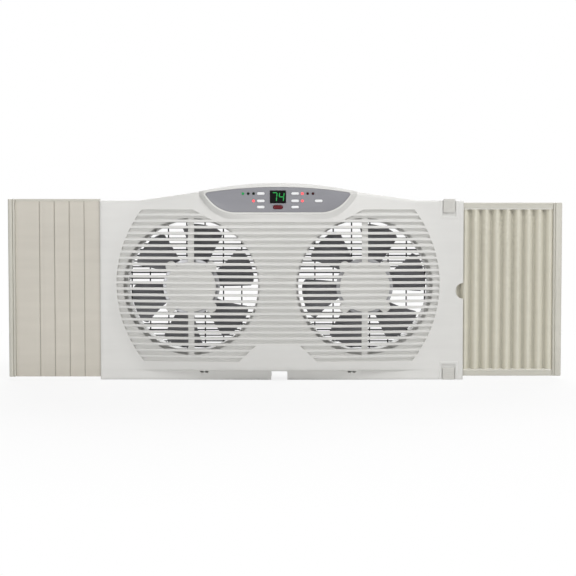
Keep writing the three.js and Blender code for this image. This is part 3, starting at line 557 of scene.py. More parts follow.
def mesh_object(name, points, faces):
    """A mesh from points measured from the bezel's middle, on the sill."""
    mesh = bpy.data.meshes.new(name)
    mesh.from_pydata([tuple(Vector(p) + ORIGIN) for p in points], [], faces)
    mesh.update()
    piece = bpy.data.objects.new(name, mesh)
    bpy.context.scene.collection.objects.link(piece)
    return piece


def facing_out(piece):
    bm = bmesh.new()
    bm.from_mesh(piece.data)
    bmesh.ops.recalc_face_normals(bm, faces=bm.faces)
    bm.to_mesh(piece.data)
    bm.free()
    return piece


def softened(piece, angle=SHARP):
    """Smooth shading, with edges over an angle left sharp."""
    bm = bmesh.new()
    bm.from_mesh(piece.data)
    bmesh.ops.remove_doubles(bm, verts=bm.verts, dist=2e-6)
    bmesh.ops.dissolve_degenerate(bm, edges=bm.edges, dist=1e-6)
    for face in bm.faces:
        face.smooth = True
    for edge in bm.edges:
        edge.smooth = len(edge.link_faces) == 2 and edge.calc_face_angle(0) < angle
    bm.to_mesh(piece.data)
    bm.free()
    return piece


def dressed(piece, paint, body, slot, *replaced, angle=SHARP):
    """Finishes a piece: smooth shading, material, body and the nodes that it replaces; the slot
    argument is not used.
    """
    softened(piece, angle)
    piece.data.materials.clear()
    piece.data.materials.append(finish(paint))
    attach(piece, body)
    if replaced:
        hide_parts(*replaced)
    return piece


def apply_modifiers(piece):
    graph = bpy.context.evaluated_depsgraph_get()
    made = bpy.data.meshes.new_from_object(piece.evaluated_get(graph))
    piece.modifiers.clear()
    piece.data = made
    return piece


def carve(piece, other, operation="DIFFERENCE"):
    """Cuts, joins or keeps the shared part of two solids, and drops the second."""
    modifier = piece.modifiers.new("cut", "BOOLEAN")
    modifier.operation = operation
    modifier.solver = "MANIFOLD"
    modifier.object = other
    bpy.context.view_layer.update()
    apply_modifiers(piece)
    bpy.data.objects.remove(other)
    if not piece.data.polygons:
        raise RuntimeError(f"nothing is left of {piece.name}")
    return piece


def join(piece, other):
    return carve(piece, other, "UNION")


def keep(piece, other):
    return carve(piece, other, "INTERSECT")


def several(name, solids, closed=False):
    """Solids that don't touch, as one mesh; each is a list of rings of points."""
    points, faces = [], []
    for rings in solids:
        start, size, count = len(points), len(rings[0]), len(rings)
        points += [p for ring in rings for p in ring]
        for j in range(count if closed else count - 1):
            a, b = start + j * size, start + (j + 1) % count * size
            faces += [(a + i, a + (i + 1) % size, b + (i + 1) % size, b + i) for i in range(size)]
        if not closed:
            faces.append(tuple(reversed(range(start, start + size))))
            faces.append(tuple(range(len(points) - size, len(points))))
    return facing_out(mesh_object(name, points, faces))


def loft(name, rings, closed=False):
    """A solid through rings of points; closed joins the last ring to the first."""
    return several(name, [rings], closed)


def circle(radius, x, z, sides=64, turn=0.0):
    steps = [turn + 2 * math.pi * i / sides for i in range(sides)]
    return [(x + radius * math.cos(a), z + radius * math.sin(a)) for a in steps]


def at_depth(outline, depth):
    return [(x, depth, z) for x, z in outline]


def turned_rings(profile, x, z, sides=64):
    """Rings of a turned solid on a line along Y, from radius and depth."""
    return [at_depth(circle(max(radius, 1e-5), x, z, sides), depth) for radius, depth in profile]


def turned(name, profile, x, z, sides=64, closed=False):
    return loft(name, turned_rings(profile, x, z, sides), closed)


def prism(name, outline, front, rear):
    return loft(name, [at_depth(outline, front), at_depth(outline, rear)])


def rounded_rect(x0, x1, z0, z1, radius=0.0, steps=5):
    if radius <= 0:
        return [(x0, z0), (x1, z0), (x1, z1), (x0, z1)]
    corners = [(x1 - radius, z0 + radius, -90), (x1 - radius, z1 - radius, 0),
               (x0 + radius, z1 - radius, 90), (x0 + radius, z0 + radius, 180)]
    out = []
    for cx, cz, start in corners:
        for i in range(steps + 1):
            a = math.radians(start + 90 * i / steps)
            out.append((cx + radius * math.cos(a), cz + radius * math.sin(a)))
    return out


def soft_box_rings(x0, x1, y0, y1, z0, z1, radius):
    """A box with its long edges rounded all round, drawn from front to rear."""
    steps = ((1.0, 0.0), (0.45, 0.12), (0.12, 0.5), (0.0, 1.0))
    rings = []
    for face, way, order in ((y0, 1, steps), (y1, -1, reversed(steps))):
        for share, depth in order:
            inset = radius * share
            outline = rounded_rect(x0 + inset, x1 - inset, z0 + inset, z1 - inset,
                                   max(radius - inset, 1e-5))
            rings.append(at_depth(outline, face + way * radius * depth))
    return rings


def soft_box(name, low, high, radius):
    return several(name, [soft_box_rings(low.x, high.x, low.y, high.y, low.z, high.z, radius)])


def block(name, x0, x1, y0, y1, z0, z1):
    return prism(name, rounded_rect(x0, x1, z0, z1), y0, y1)


def sheet(name, columns, rows, front, rear):
    """A closed solid between two grids; columns and rows are lists of parameters."""
    points = [front(u, v) for v in rows for u in columns]
    points += [rear(u, v) for v in rows for u in columns]
    wide, tall = len(columns), len(rows)
    behind = wide * tall
    faces = []
    for j in range(tall - 1):
        for i in range(wide - 1):
            a = j * wide + i
            faces.append((a, a + 1, a + wide + 1, a + wide))
            faces.append((behind + a, behind + a + wide, behind + a + wide + 1, behind + a + 1))
    border = list(range(wide))
    border += [j * wide + wide - 1 for j in range(1, tall)]
    border += [(tall - 1) * wide + i for i in range(wide - 2, -1, -1)]
    border += [j * wide for j in range(tall - 2, 0, -1)]
    for i, a in enumerate(border):
        b = border[(i + 1) % len(border)]
        faces.append((b, a, behind + a, behind + b))
    return facing_out(mesh_object(name, points, faces))


def spread(low, high, steps):
    return [low + (high - low) * i / steps for i in range(steps + 1)]


def merged(*lists):
    return sorted({round(value, 7) for values in lists for value in values})


# ---------------------------------------------------------------- front cover

def top_edge(x):
    """Height of the cover's upper edge: flat, then rising, then an arc over the control pod."""
    sizes = settings().cover
    across = abs(x)
    if across >= sizes.hump_foot:
        return sizes.bezel_height
    if across >= sizes.shoulder:
        share = (across - sizes.shoulder) / (sizes.hump_foot - sizes.shoulder)
        return sizes.shoulder_height + share * (sizes.bezel_height - sizes.shoulder_height)
    rise = pod_top - sizes.shoulder_height
    return pod_top - rise * (across / sizes.shoulder) ** 2


def dome(x, z):
    """How far the dome stands in front of the bezel, with a soft crease at its foot."""
    sizes = settings().cover
    u = x / sizes.dome_half_width
    w = (z - sizes.dome_height) / sizes.dome_half_height
    peak = sizes.crown - sizes.crease ** 2 / (4 * sizes.crown)
    rise = peak * (1 - u * u - w * w)
    return 0.5 * (rise + math.sqrt(rise * rise + sizes.crease ** 2)) if rise > -0.03 else 0.0


def rounding(distance, radius):
    """How far a rounded edge falls back at a distance from it."""
    if distance >= radius:
        return 0.0
    short = (radius - max(distance, 0.0)) / radius
    return radius * (1 - math.sqrt(max(0.0, 1 - short * short)))


def front_of_cover(x, z):
    """How far the cover's front stands before the bezel, its grooves not yet cut."""
    sizes = settings().cover
    if z < sizes.dome_floor:
        share = x / sizes.chin_half_width
        bulge = sizes.chin_depth * (1 - share * share)
        stand = 0.5 * (bulge + math.sqrt(bulge * bulge + 0.0012 ** 2))
        stand *= 1 - CHIN_LEAN + CHIN_LEAN * z / sizes.dome_floor
    else:
        stand = dome(x, z) - rounding(z - sizes.dome_floor, 0.003) * min(1.0, dome(x, z) / 0.01)
    outline = min(top_edge(x) - z, x - body_left, body_right - x, z)
    return stand - rounding(outline, sizes.edge_round)


def cover_columns(inset=0.0):
    sizes = settings().cover
    fine = [sizes.edge_round * share for share in (0, 0.06, 0.2, 0.45, 1.0)]
    left = [body_left + inset + step for step in fine]
    right = [body_right - inset - step for step in fine]
    corners = [side * at for side in (-1, 1) for at in (sizes.hump_foot, sizes.shoulder)]
    return merged(left, spread(left[-1], right[-1], 120), corners, right)


def cover_body():
    """The cover's outer form as one closed solid, on a grid that follows its outline."""
    sizes = settings().cover
    fine = [sizes.edge_round * share for share in (0, 0.06, 0.2, 0.45, 1.0)]
    floor = sizes.dome_floor
    low = [*fine, 0.006, 0.012, floor - 0.0006, floor - 0.00002]
    ledge = [floor, floor + 0.0001, floor + 0.0005, floor + 0.0013, floor + 0.003]
    steps = 56

    def height(x, v):
        if v < len(low):
            return low[v]
        if v < len(low) + len(ledge):
            return ledge[v - len(low)]
        start, end = ledge[-1], top_edge(x) - fine[-1]
        rise = v - len(low) - len(ledge) + 1
        if rise <= steps:
            return start + (end - start) * rise / steps
        return top_edge(x) - fine[len(fine) - 1 - (rise - steps)]

    rows = range(len(low) + len(ledge) + steps + len(fine) - 1)

    def front(x, v):
        z = height(x, v)
        return (x, -front_of_cover(x, z), z)

    def rear(x, v):
        return (x, PLATE, height(x, v))

    return sheet("front_cover_shell", cover_columns(), list(rows), front, rear)


def cover_hollow():
    """The space inside the dome, in front of the housing."""
    sizes = settings().cover
    left, right = body_left + sizes.wall, body_right - sizes.wall
    floor = sizes.dome_floor + sizes.wall

    def z_at(x, v):
        return floor + (top_edge(x) - sizes.wall - floor) * v

    def front(x, v):
        z = z_at(x, v)
        return (x, min(sizes.skin - dome(x, z), PLATE + 0.001), z)

    def rear(x, v):
        return (x, PLATE + 0.002, z_at(x, v))

    return sheet("hollow", spread(left, right, 60), spread(0, 1, 30), front, rear)


def field_edge(z):
    sizes = settings().slots
    share = (z - sizes.field_height) / sizes.field_half_height
    return sizes.field_half_width * math.sqrt(max(0.0, 1 - share * share))


def groove_profile():
    """A groove's section, as height from its middle and depth behind the cover's front."""
    sizes = settings().slots
    half, lip, floor = sizes.height / 2, sizes.lip, sizes.depth
    side = [(half + lip, -0.004)]
    for i in range(4):
        a = math.radians(90 * i / 3)
        side.append((half + lip - lip * math.sin(a), lip - lip * math.cos(a)))
    side += [(half - 0.0001, floor - 0.0006), (half - 0.0003, floor - 0.00015),
             (half - 0.0008, floor)]
    return [(-z, d) for z, d in side] + [(z, d) for z, d in reversed(side)]


def groove(height, start, end):
    """Rings of one groove's cutter between two ends, which follow the height."""
    steps = 52
    rings = []
    for i in range(steps + 1):
        ring = []
        for rise, depth in groove_profile():
            z = height + rise
            x = start(z) + (end(z) - start(z)) * i / steps
            ring.append((x, depth - dome(x, height), z))
        rings.append(ring)
    return rings


def grooves():
    """Every groove's cutter; the short rows end beside the pod and the bare badge place."""
    sizes = settings().slots
    solids = []
    first_top = sizes.rows - sizes.top_rows
    for row in range(sizes.rows):
        height = sizes.lowest + row * sizes.pitch
        if row >= first_top:
            base = sizes.lowest + first_top * sizes.pitch
            inner = lambda z, base=base: sizes.top_end + (z - base) * 1.9
        elif row < sizes.bottom_rows:
            inner = lambda z: sizes.bottom_end - (z - sizes.lowest) * 1.06
        else:
            solids.append(groove(height, lambda z: -field_edge(z), field_edge))
            continue
        solids.append(groove(height, inner, field_edge))
        solids.append(groove(height, lambda z: -field_edge(z), lambda z, f=inner: -f(z)))
    return several("grooves", solids)


def motor_bosses(x):
    reach = settings().fans.boss_spread
    return [(x + a * reach, fan_height + b * reach) for a in (-1, 1) for b in (-1, 1)]


def fan_opening(x):
    """The space behind the slats in front of one fan, round its hub plate and spine."""
    sizes, cover, slots = settings().fans, settings().cover, settings().slots
    reach = 2 * cover.crown
    hole = prism("opening", circle(sizes.opening, x, fan_height, 128), -reach, reach)
    carve(hole, prism("plate", circle(sizes.hub_plate, x, fan_height, 96), -2 * reach, 2 * reach))
    half = sizes.spine / 2
    tall = sizes.opening + 0.01
    carve(hole, block("spine", x - half, x + half, -2 * reach, 2 * reach,
                      fan_height - tall, fan_height + tall))
    for bx, bz in motor_bosses(x):
        carve(hole, prism("boss", circle(sizes.boss_radius, bx, bz, 40), -2 * reach, 2 * reach))
    slat = slots.depth - SEAM

    def front(u, v):
        return (u, slat - dome(u, v), v)

    def rear(u, v):
        return (u, reach * 0.9, v)

    tall = sizes.opening + 0.002
    behind = sheet("behind", spread(x - tall, x + tall, 48),
                   spread(fan_height - tall, fan_height + tall, 48), front, rear)
    return keep(hole, behind)


def pod_outline(grow, steps=26):
    """The control panel's outline in the pod's own plane, grown on every side."""
    sizes = settings().pod
    bottom = sizes.bottom - grow - sizes.base
    tip = sizes.tip - sizes.base
    half = sizes.half_width + grow
    swing = (half + sizes.half_flat) / 2 + (half - sizes.half_flat) / 10
    top = sizes.top + grow - sizes.base
    shoulder = max(top - half ** 2 / (2 * sizes.top_radius), tip + SEAM)
    points, turned_in = [], sizes.tip_round

    def crest(x):
        return top - (top - shoulder) * (x / half) ** 2

    for i in range(steps + 1):
        points.append((-sizes.half_flat + 2 * sizes.half_flat * i / steps, bottom))
    for i in range(1, steps + 1):
        t = i / steps
        a, b, c = (1 - t) ** 2, 2 * t * (1 - t), t * t
        points.append((a * sizes.half_flat + b * swing + c * half,
                       a * bottom + b * bottom + c * tip))
    for way in (1, -1):
        corner = []
        for i in range(1, 7):
            t = i / 7
            a, b, c = (1 - t) ** 2, 2 * t * (1 - t), t * t
            x = a * half + b * half + c * (half - turned_in)
            corner.append((way * x, a * tip + b * shoulder + c * crest(half - turned_in)))
        if way > 0:
            points += corner
            for x in spread(half - turned_in, turned_in - half, 2 * steps):
                points.append((x, crest(x)))
        else:
            points += reversed(corner)
    for i in range(steps):
        t = 1 - i / steps
        a, b, c = (1 - t) ** 2, 2 * t * (1 - t), t * t
        points.append((-(a * sizes.half_flat + b * swing + c * half),
                       a * bottom + b * bottom + c * tip))
    return points


def on_pod(x, depth, rise):
    """A point given in the pod's tilted plane, as a point of the fan."""
    sizes = settings().pod
    tilt = math.radians(sizes.tilt)
    c, s = math.cos(tilt), math.sin(tilt)
    return (x, -sizes.front + depth * c + rise * s, sizes.base - depth * s + rise * c)


def pod_ring(grow, depth):
    return [on_pod(x, depth, rise) for x, rise in pod_outline(grow)]


def depth_to_dome(x, rise, extra):
    """How deep the dome lies under a point of the pod's plane."""
    sizes = settings().pod
    tilt = math.radians(sizes.tilt)
    depth = 0.0
    for _ in range(6):
        _, _, z = on_pod(x, depth, rise)
        depth = (sizes.front - dome(x, z) - rise * math.sin(tilt)) / math.cos(tilt)
    return max(depth, 0.0009) + extra


def pod_body():
    """The raised rim round the control panel, its flank running down into the dome."""
    sizes = settings().pod
    lip, flank = sizes.lip, sizes.rim - 0.0008
    rings = [pod_ring(lip - 0.0009, 0), pod_ring(lip - 0.0003, 0.00018)]
    rings.append(pod_ring(lip, 0.0007))
    for share in (0.15, 0.5, 0.85, 1.0):
        grow = lip + (flank - lip) * share
        ease = share * share * (3 - 2 * share) * 0.35 + share * 0.65
        ring = []
        for x, rise in pod_outline(grow):
            deep = depth_to_dome(x, rise, 0.0004)
            ring.append(on_pod(x, 0.0007 + (deep - 0.0007) * ease, rise))
        rings.append(ring)
    rings.append(pod_ring(flank, sizes.front + 0.004))
    return loft("pod", rings)


def outline_prism(inset=0.0):
    sizes = settings().cover
    across = cover_columns(inset)
    top = [(x, top_edge(x) - inset) for x in reversed(across)]
    bottom = [(across[0], 0.0), (across[-1], 0.0)]
    return prism("outline", bottom + top, -3 * sizes.crown, 3 * sizes.crown)


def pod_hollow():
    """The space behind the control panel, inside the pod's walls."""
    inner = loft("room", [pod_ring(-0.0045, 0.0025), pod_ring(-0.0045, 0.05)])
    return keep(inner, outline_prism(settings().cover.wall))


def lock_pocket(node, grow=0.0, front=-0.004):
    """The recess that a lock slides in, or the low frame round it when grown."""
    low, high = local_box(node)
    across = (low.x + high.x) / 2
    half = (high.x - low.x) / 2 + 0.0016 + grow
    run = LOCK_RUN + grow
    at_top = low.z > pod_top / 2
    z0 = low.z - run if at_top else -0.001
    z1 = high.z + 0.001 if at_top else high.z + run
    if grow:
        z0, z1 = max(z0, 0.0003), min(z1, top_edge(across) - 0.0003)
    return soft_box("pocket", Vector((across - half, front, z0)),
                    Vector((across + half, 0.0021, z1)), 0.0006)


def web_run(node):
    """The heights between which a lock's web moves, with a clearance at both ends."""
    low, high = local_box(node)
    up, half = (low.z + high.z) / 2, LOCK_WEB_HEIGHT + SEAM
    travel = -LOCK_TRAVEL if low.z > pod_top / 2 else LOCK_TRAVEL
    return up - half + min(0, travel), up + half + max(0, travel)


def cover_screw_posts():
    """Posts behind the hub plates that the motors' flanges are screwed to."""
    low, _ = local_box("motor_left")
    skin = settings().cover.skin
    posts = []
    for side in (-1, 1):
        for x, z in motor_bosses(side * fan_offset):
            root = skin - dome(x, z) - 0.001
            face = low.y + 0.0025 - SEAM
            profile = [(0.0016, root), (0.0058, root), (0.0045, root + 0.0015), (0.0045, face),
                       (0.0016, face)]
            posts.append((profile, x, z))
    return posts


class FAN_OT_front_cover(bpy.types.Operator):
    """Slatted front cover with its dome, chin, hub plates and raised pod rim"""
    bl_idname = "window_fan.front_cover"
    bl_label = "Front cover"

    def execute(self, context):
        cover = cover_body()
        join(cover, keep(pod_body(), outline_prism()))
        carve(cover, cover_hollow())
        carve(cover, pod_hollow())
        carve(cover, loft("pocket", [pod_ring(0, -0.02), pod_ring(0, 0.0023)]))
        carve(cover, grooves())
        for side in (-1, 1):
            carve(cover, fan_opening(side * fan_offset))
        notch = middle("cord_bush").x - MID
        carve(cover, soft_box("notch", Vector((notch - NOTCH, -0.04, -0.01)),
                              Vector((notch + NOTCH, 0.04, 0.0147)), 0.0012))
        for side in (-1, 1):
            for step in (-0.0038, 0.0038):
                x = side * SOCKET_REACH + step
                carve(cover, prism("socket", rounded_rect(x - 0.00275, x + 0.00275, 0.01215,
                                                          0.01465, 0.0005), -0.03, 0.03))
        thumb = circle(THUMB, body_right, THUMB_HEIGHT, 72)
        carve(cover, prism("thumb", thumb, -0.01, 0.01))
        for node in ("lock_top", "lock_bottom"):
            join(cover, lock_pocket(node, LOCK_FRAME, -0.0006))
            carve(cover, lock_pocket(node))
            low, high = local_box(node)
            across = (low.x + high.x) / 2
            z0, z1 = web_run(node)
            half = LOCK_WEB + SEAM
            carve(cover, block("slot", across - half, across + half, -0.001, 0.006, z0, z1))
        for profile, x, z in cover_screw_posts():
            join(cover, turned("post", profile, x, z, 28, closed=True))
        cover.name = "front_cover_shell"
        dressed(cover, "cover", "body", "cover_grey", "front_cover")
        return {"FINISHED"}


# ---------------------------------------------------------------- rear housing and grille

def crest_outline(inset, floor):
    """The cover's outline drawn in by an inset, cut off level at a height."""
    sizes = settings().cover
    foot = sizes.hump_foot - inset
    across = merged(spread(-foot, foot, 72), [side * sizes.shoulder for side in (-1, 1)])
    top = [(x, top_edge(x) - inset) for x in reversed(across)]
    return [(across[0], floor), (across[-1], floor), *top]


def wall_ring(name, inner, outer, front, rear, x, z, sides=128):
    """A short tube along Y with softly rounded edges."""
    soft = min(0.0006, (outer - inner) / 4)
    profile = [(inner, front + soft), (inner + soft, front), (outer - soft, front),
               (outer, front + soft), (outer, rear - soft), (outer - soft, rear),
               (inner + soft, rear), (inner, rear - soft)]
    return turned(name, profile, x, z, sides, closed=True)


def housing_form(name, inset, front, deep, rear):
    """The housing's box with the hump that stands behind the control pod."""
    sizes = settings().housing
    wide = housing_high.x - MID - inset
    top = sizes.top - inset
    form = block(name, -wide, wide, front, rear, sizes.bottom + inset, top)
    hump = prism("hump", crest_outline(inset, sizes.top - 0.006 - inset), deep + inset, rear)
    join(form, hump)
    reach = sizes.nose_half_width - inset
    nose = prism("nose", crest_outline(inset, sizes.top - 0.006 - inset), front, rear)
    keep(nose, block("middle", -reach, reach, front - 0.001, rear + 0.001, 0, 0.4))
    return join(form, nose)


def cross_recess(x, z, face, out, reach=0.0019):
    """A cross-shaped driver recess in a screw head that faces along Y."""
    half = 0.00042
    deep = 0.0011 * out
    low, high = sorted((face + 0.0003 * out, face - deep))
    across = block("recess", x - reach, x + reach, low, high, z - half, z + half)
    return join(across, block("recess", x - half, x + half, low, high, z - reach, z + reach))


def screw(name, tip, seat, x, z):
    """A pan-head screw with a cross recess; the head is on the seat's far side from the tip."""
    out = 1 if seat > tip else -1
    shank, radius, thick = 0.0013, 0.0032, 0.002
    profile = [(1e-5, tip), (0.0005, tip), (0.00105, tip + 0.0014 * out)]
    pitch = 0.0007
    turns = max(1, int((abs(seat - tip) - 0.003) / pitch))
    turns = min(turns, 9)
    for i in range(turns):
        start = tip + (0.0014 + i * pitch) * out
        profile += [(0.00105, start), (shank, start + 0.45 * pitch * out)]
    profile += [(0.00105, tip + (0.0014 + turns * pitch) * out), (0.00105, seat), (radius, seat)]
    profile += [(radius, seat + 0.35 * thick * out), (radius * 0.93, seat + 0.68 * thick * out),
                (radius * 0.74, seat + 0.9 * thick * out), (radius * 0.45, seat + thick * out),
                (1e-5, seat + thick * out)]
    made = turned(name, profile, x, z, 28)
    return carve(made, cross_recess(x, z, seat + thick * out, out))


def pillar_places():
    screws = [middle(f"case_screw_{i}") for i in (1, 2, 3, 4)]
    return [(place.x - MID, place.z) for place in screws]


class FAN_OT_rear_housing(bpy.types.Operator):
    """Rear housing with two ducts, screw pillars, sill ribs and guide walls"""
    bl_idname = "window_fan.rear_housing"
    bl_label = "Rear housing"

    def execute(self, context):
        sizes, fans = settings().housing, settings().fans
        wall = settings().cover.wall
        back = housing_high.y - FACE
        front = housing_low.y - FACE
        wide = housing_high.x - MID
        shell = housing_form("rear_housing_shell", 0, front, sizes.guide_face, back)
        carve(shell, housing_form("inside", wall, front - 0.001, sizes.guide_face, back - wall))
        for side in (-1, 1):
            x = side * fan_offset
            carve(shell, prism("hole", circle(fans.duct, x, fan_height, 128), sizes.duct_start,
                               back + 0.001))
        for side in (-1, 1):
            x = side * fan_offset
            join(shell, wall_ring("duct", fans.duct, fans.duct + 0.0022, sizes.duct_start, back,
                                  x, fan_height))
            join(shell, wall_ring("mouth", fans.duct, fans.duct + 0.0075, sizes.duct_start,
                                  sizes.duct_start + 0.0016, x, fan_height))
            step = wall_ring("step", fans.duct + 0.0065, fans.duct + 0.0085, back - 0.002,
                             back + 0.0007, x, fan_height)
            join(shell, step)
        for face in (sizes.guide_face, sizes.rib_face):
            notch = middle("cord_bush").x - MID
            for low, high in ((-wide, notch - NOTCH), (notch + NOTCH, wide)):
                join(shell, block("rib", low, high, face, face + wall, 0, sizes.bottom + wall))
            if face == sizes.guide_face:
                for side in (-1, 1):
                    near, far = sorted((side * (settings().cover.hump_foot - wall), side * wide))
                    join(shell, block("guide", near, far, face, face + wall, sizes.top - wall,
                                      sizes.guide_top))
        for x, z in pillar_places():
            for a, b in ((0.009, 0.0007), (0.0007, 0.009)):
                join(shell, block("gusset", x - a, x + a, back - wall - 0.012, back - wall + 0.001,
                                  z - b, z + b))
            join(shell, prism("pillar", circle(0.0046, x, z, 40), front, back))
            carve(shell, prism("bore", circle(BORE, x, z, 24), 0, back + 0.001))
        dressed(shell, "housing", "body", "housing_grey", "rear_housing")
        return {"FINISHED"}


def bar_section(half, thick, steps=3):
    """A rounded bar's section, as offsets across it and along Y from its middle."""
    return [(w, y) for w, y in rounded_rect(-half, half, -thick / 2, thick / 2,
                                            min(half, thick / 2) * 0.9, steps)]


class FAN_OT_rear_grille(bpy.types.Operator):
    """Rear grille of two rings with rounded upright and level bars"""
    bl_idname = "window_fan.rear_grille"
    bl_label = "Rear grille"

    def execute(self, context):
        sizes, fans = settings().grille, settings().fans
        front, back = grille_low.y - FACE, grille_high.y - FACE
        centre = (front + back) / 2
        outer = fans.duct + sizes.rim
        thick = (back - front) / 2 - 0.0002
        uprights, levels = [], []
        for side in (-1, 1):
            x0 = side * fan_offset
            first = math.ceil((fan_height - fans.duct) / sizes.cross_pitch)
            z = first * sizes.cross_pitch
            while z < fan_height + fans.duct:
                reach = math.sqrt(max(0.0, (fans.duct + 0.001) ** 2 - (z - fan_height) ** 2))
                y = centre + 0.0001 + thick / 2
                levels.append([[(x, y + dy, z + dw) for dw, dy in bar_section(sizes.bar / 2, thick)]
                               for x in (x0 - reach, x0 + reach)])
                z += sizes.cross_pitch
            first = math.ceil((x0 - fans.duct) / sizes.upright_pitch)
            x = first * sizes.upright_pitch
            while x < x0 + fans.duct:
                reach = math.sqrt(max(0.0, (fans.duct + 0.001) ** 2 - (x - x0) ** 2))
                y = centre - 0.0001 - thick / 2
                section = bar_section(sizes.bar / 2, thick)
                uprights.append([[(x + dw, y + dy, z) for dw, dy in section]
                                 for z in (fan_height - reach, fan_height + reach)])
                x += sizes.upright_pitch
        made = wall_ring("rear_grille_wires", fans.duct, outer, front, back, -fan_offset,
                         fan_height)
        join(made, wall_ring("ring", fans.duct, outer, front, back, fan_offset, fan_height))
        link = fan_offset - fans.duct - 0.002
        join(made, soft_box("link", Vector((-link, front, fan_height - sizes.link)),
                            Vector((link, back, fan_height + sizes.link)), 0.0006))
        join(made, several("uprights", uprights))
        join(made, several("levels", levels))
        dressed(made, "grille", "body", "grille_black", "rear_grille")
        return {"FINISHED"}


class FAN_OT_cord_bush(bpy.types.Operator):
    """Ribbed rubber bush over the bottom notch"""
    bl_idname = "window_fan.cord_bush"
    bl_label = "Cord bush"

    def execute(self, context):
        low, high = local_box("cord_bush")
        x, y = (low.x + high.x) / 2, (low.y + high.y) / 2
        flange = (high.x - low.x) / 2
        sleeve, bore = flange - 0.0024, flange - 0.0048
        seat = settings().housing.bottom - SEAM
        profile = [(bore, low.z + 0.0004), (bore + 0.0004, low.z), (flange - 0.0008, low.z),
                   (flange, low.z + 0.0007), (flange, seat - 0.0006), (flange - 0.0005, seat),
                   (sleeve, seat)]
        ribs = 4
        step = (high.z - seat - 0.0006) / ribs
        for i in range(ribs):
            z = seat + 0.0002 + i * step
            profile += [(sleeve, z + step * 0.5), (sleeve - 0.0005, z + step * 0.6),
                        (sleeve - 0.0005, z + step * 0.9), (sleeve - 0.0001, z + step)]
        profile += [(sleeve - 0.0006, high.z), (bore + 0.0004, high.z), (bore, high.z - 0.0004)]
        rings = [[(x + radius * math.cos(a), y + radius * math.sin(a), z)
                  for a in spread(0, 2 * math.pi, 48)[:-1]] for radius, z in profile]
        made = loft("cord_bush_rubber", rings, closed=True)
        dressed(made, "rubber", "body", "rubber_black", "cord_bush")
        return {"FINISHED"}


class FAN_OT_screws(bpy.types.Operator):
    """Pan-head screws of the case and the motors"""
    bl_idname = "window_fan.screws"
    bl_label = "Screws"

    def execute(self, context):
        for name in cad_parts:
            if "screw" not in name:
                continue
            low, high = local_box(name)
            x, z = (low.x + high.x) / 2, (low.z + high.z) / 2
            made = screw(f"{name}_steel", low.y, high.y - 0.002, x, z)
            dressed(made, "steel", "body", "bright_steel", name)
        return {"FINISHED"}


# ---------------------------------------------------------------- motors and impellers

def blade_sheet(x, turn):
    """One swept blade, thickest along its middle, with rounded tip corners."""
    sizes = settings().fans
    low, high = local_box("impeller_left")
    start = low.y
    length = high.y - low.y
    root = sizes.hub - 0.003
    columns = [0, 0.03, 0.09, *spread(0.17, 0.83, 10), 0.91, 0.97, 1]
    rows = [*spread(0, 0.82, 9), 0.88, 0.93, 0.965, 0.985, 1]

    def place(u, v, side):
        shoulder = abs(2 * u - 1) ** 6
        radius = root + v * (sizes.tip - 0.0065 * shoulder - root)
        belly = math.sin(math.pi * u) * sizes.blade_belly
        sweep = sizes.blade_sweep * (0.82 + 0.18 * v)
        angle = math.radians(turn + (u - 0.5) * sweep + v * 6.0)
        edge = min(u, 1 - u) * 12
        thick = sizes.blade_thickness * (0.30 + 0.70 * min(1.0, edge) ** 0.6) * (1 - 0.35 * v)
        depth = start + length / 2 + (0.5 - u) * sizes.blade_rise - belly + side * thick / 2
        return (x + radius * math.cos(angle), depth, fan_height + radius * math.sin(angle))

    return sheet("blade", columns, rows, lambda u, v: place(u, v, -1), lambda u, v: place(u, v, 1))


def hub_form(x):
    """The impeller's cup-shaped hub with a stepped rear face and stiffening ribs."""
    sizes = settings().fans
    low, high = local_box("impeller_left")
    front, rear = low.y, high.y
    hub, soft = sizes.hub, 0.004
    profile = [(1e-5, front)]
    for i in range(9):
        a = math.radians(90 * i / 8)
        profile.append((hub - soft + soft * math.sin(a), front + soft - soft * math.cos(a)))
    profile += [(hub, rear - 0.0008), (hub - 0.0008, rear), (hub - 0.0026, rear),
                (hub - 0.0032, rear - 0.0006), (hub - 0.0034, front + 0.0065),
                (hub - 0.0050, front + 0.0052), (0.0100, front + 0.0050), (0.0086, front + 0.0062),
                (0.0082, rear - 0.0008), (0.0076, rear), (1e-5, rear)]
    made = turned("hub", profile, x, fan_height, 96)
    for i in range(6):
        a = math.radians(60 * i + 30)
        near, far, half = 0.0078, hub - 0.003, 0.0007
        c, s = math.cos(a), math.sin(a)
        outline = [(x + r * c - w * s, fan_height + r * s + w * c)
                   for r, w in ((near, -half), (far, -half), (far, half), (near, half))]
        join(made, prism("rib", outline, front + 0.004, rear - 0.004))
    return made


class FAN_OT_impellers(bpy.types.Operator):
    """Two six-blade impellers, each on its own motor's shaft"""
    bl_idname = "window_fan.impellers"
    bl_label = "Impellers"

    def execute(self, context):
        sizes = settings().fans
        low, high = local_box("shaft_left")
        bore = (high.x - low.x) / 2 + SEAM
        for side, way, phase in (("left", -1, sizes.left_phase), ("right", 1, sizes.right_phase)):
            x = way * fan_offset
            made = hub_form(x)
            made.name = f"impeller_{side}_blades"
            for i in range(sizes.blades):
                join(made, blade_sheet(x, phase + i * 360 / sizes.blades))
            carve(made, prism("bore", circle(bore, x, fan_height, 32), 0, 0.1))
            dressed(made, "fan", f"{side}_fan", "fan_charcoal", f"impeller_{side}", angle=0.6)
        return {"FINISHED"}


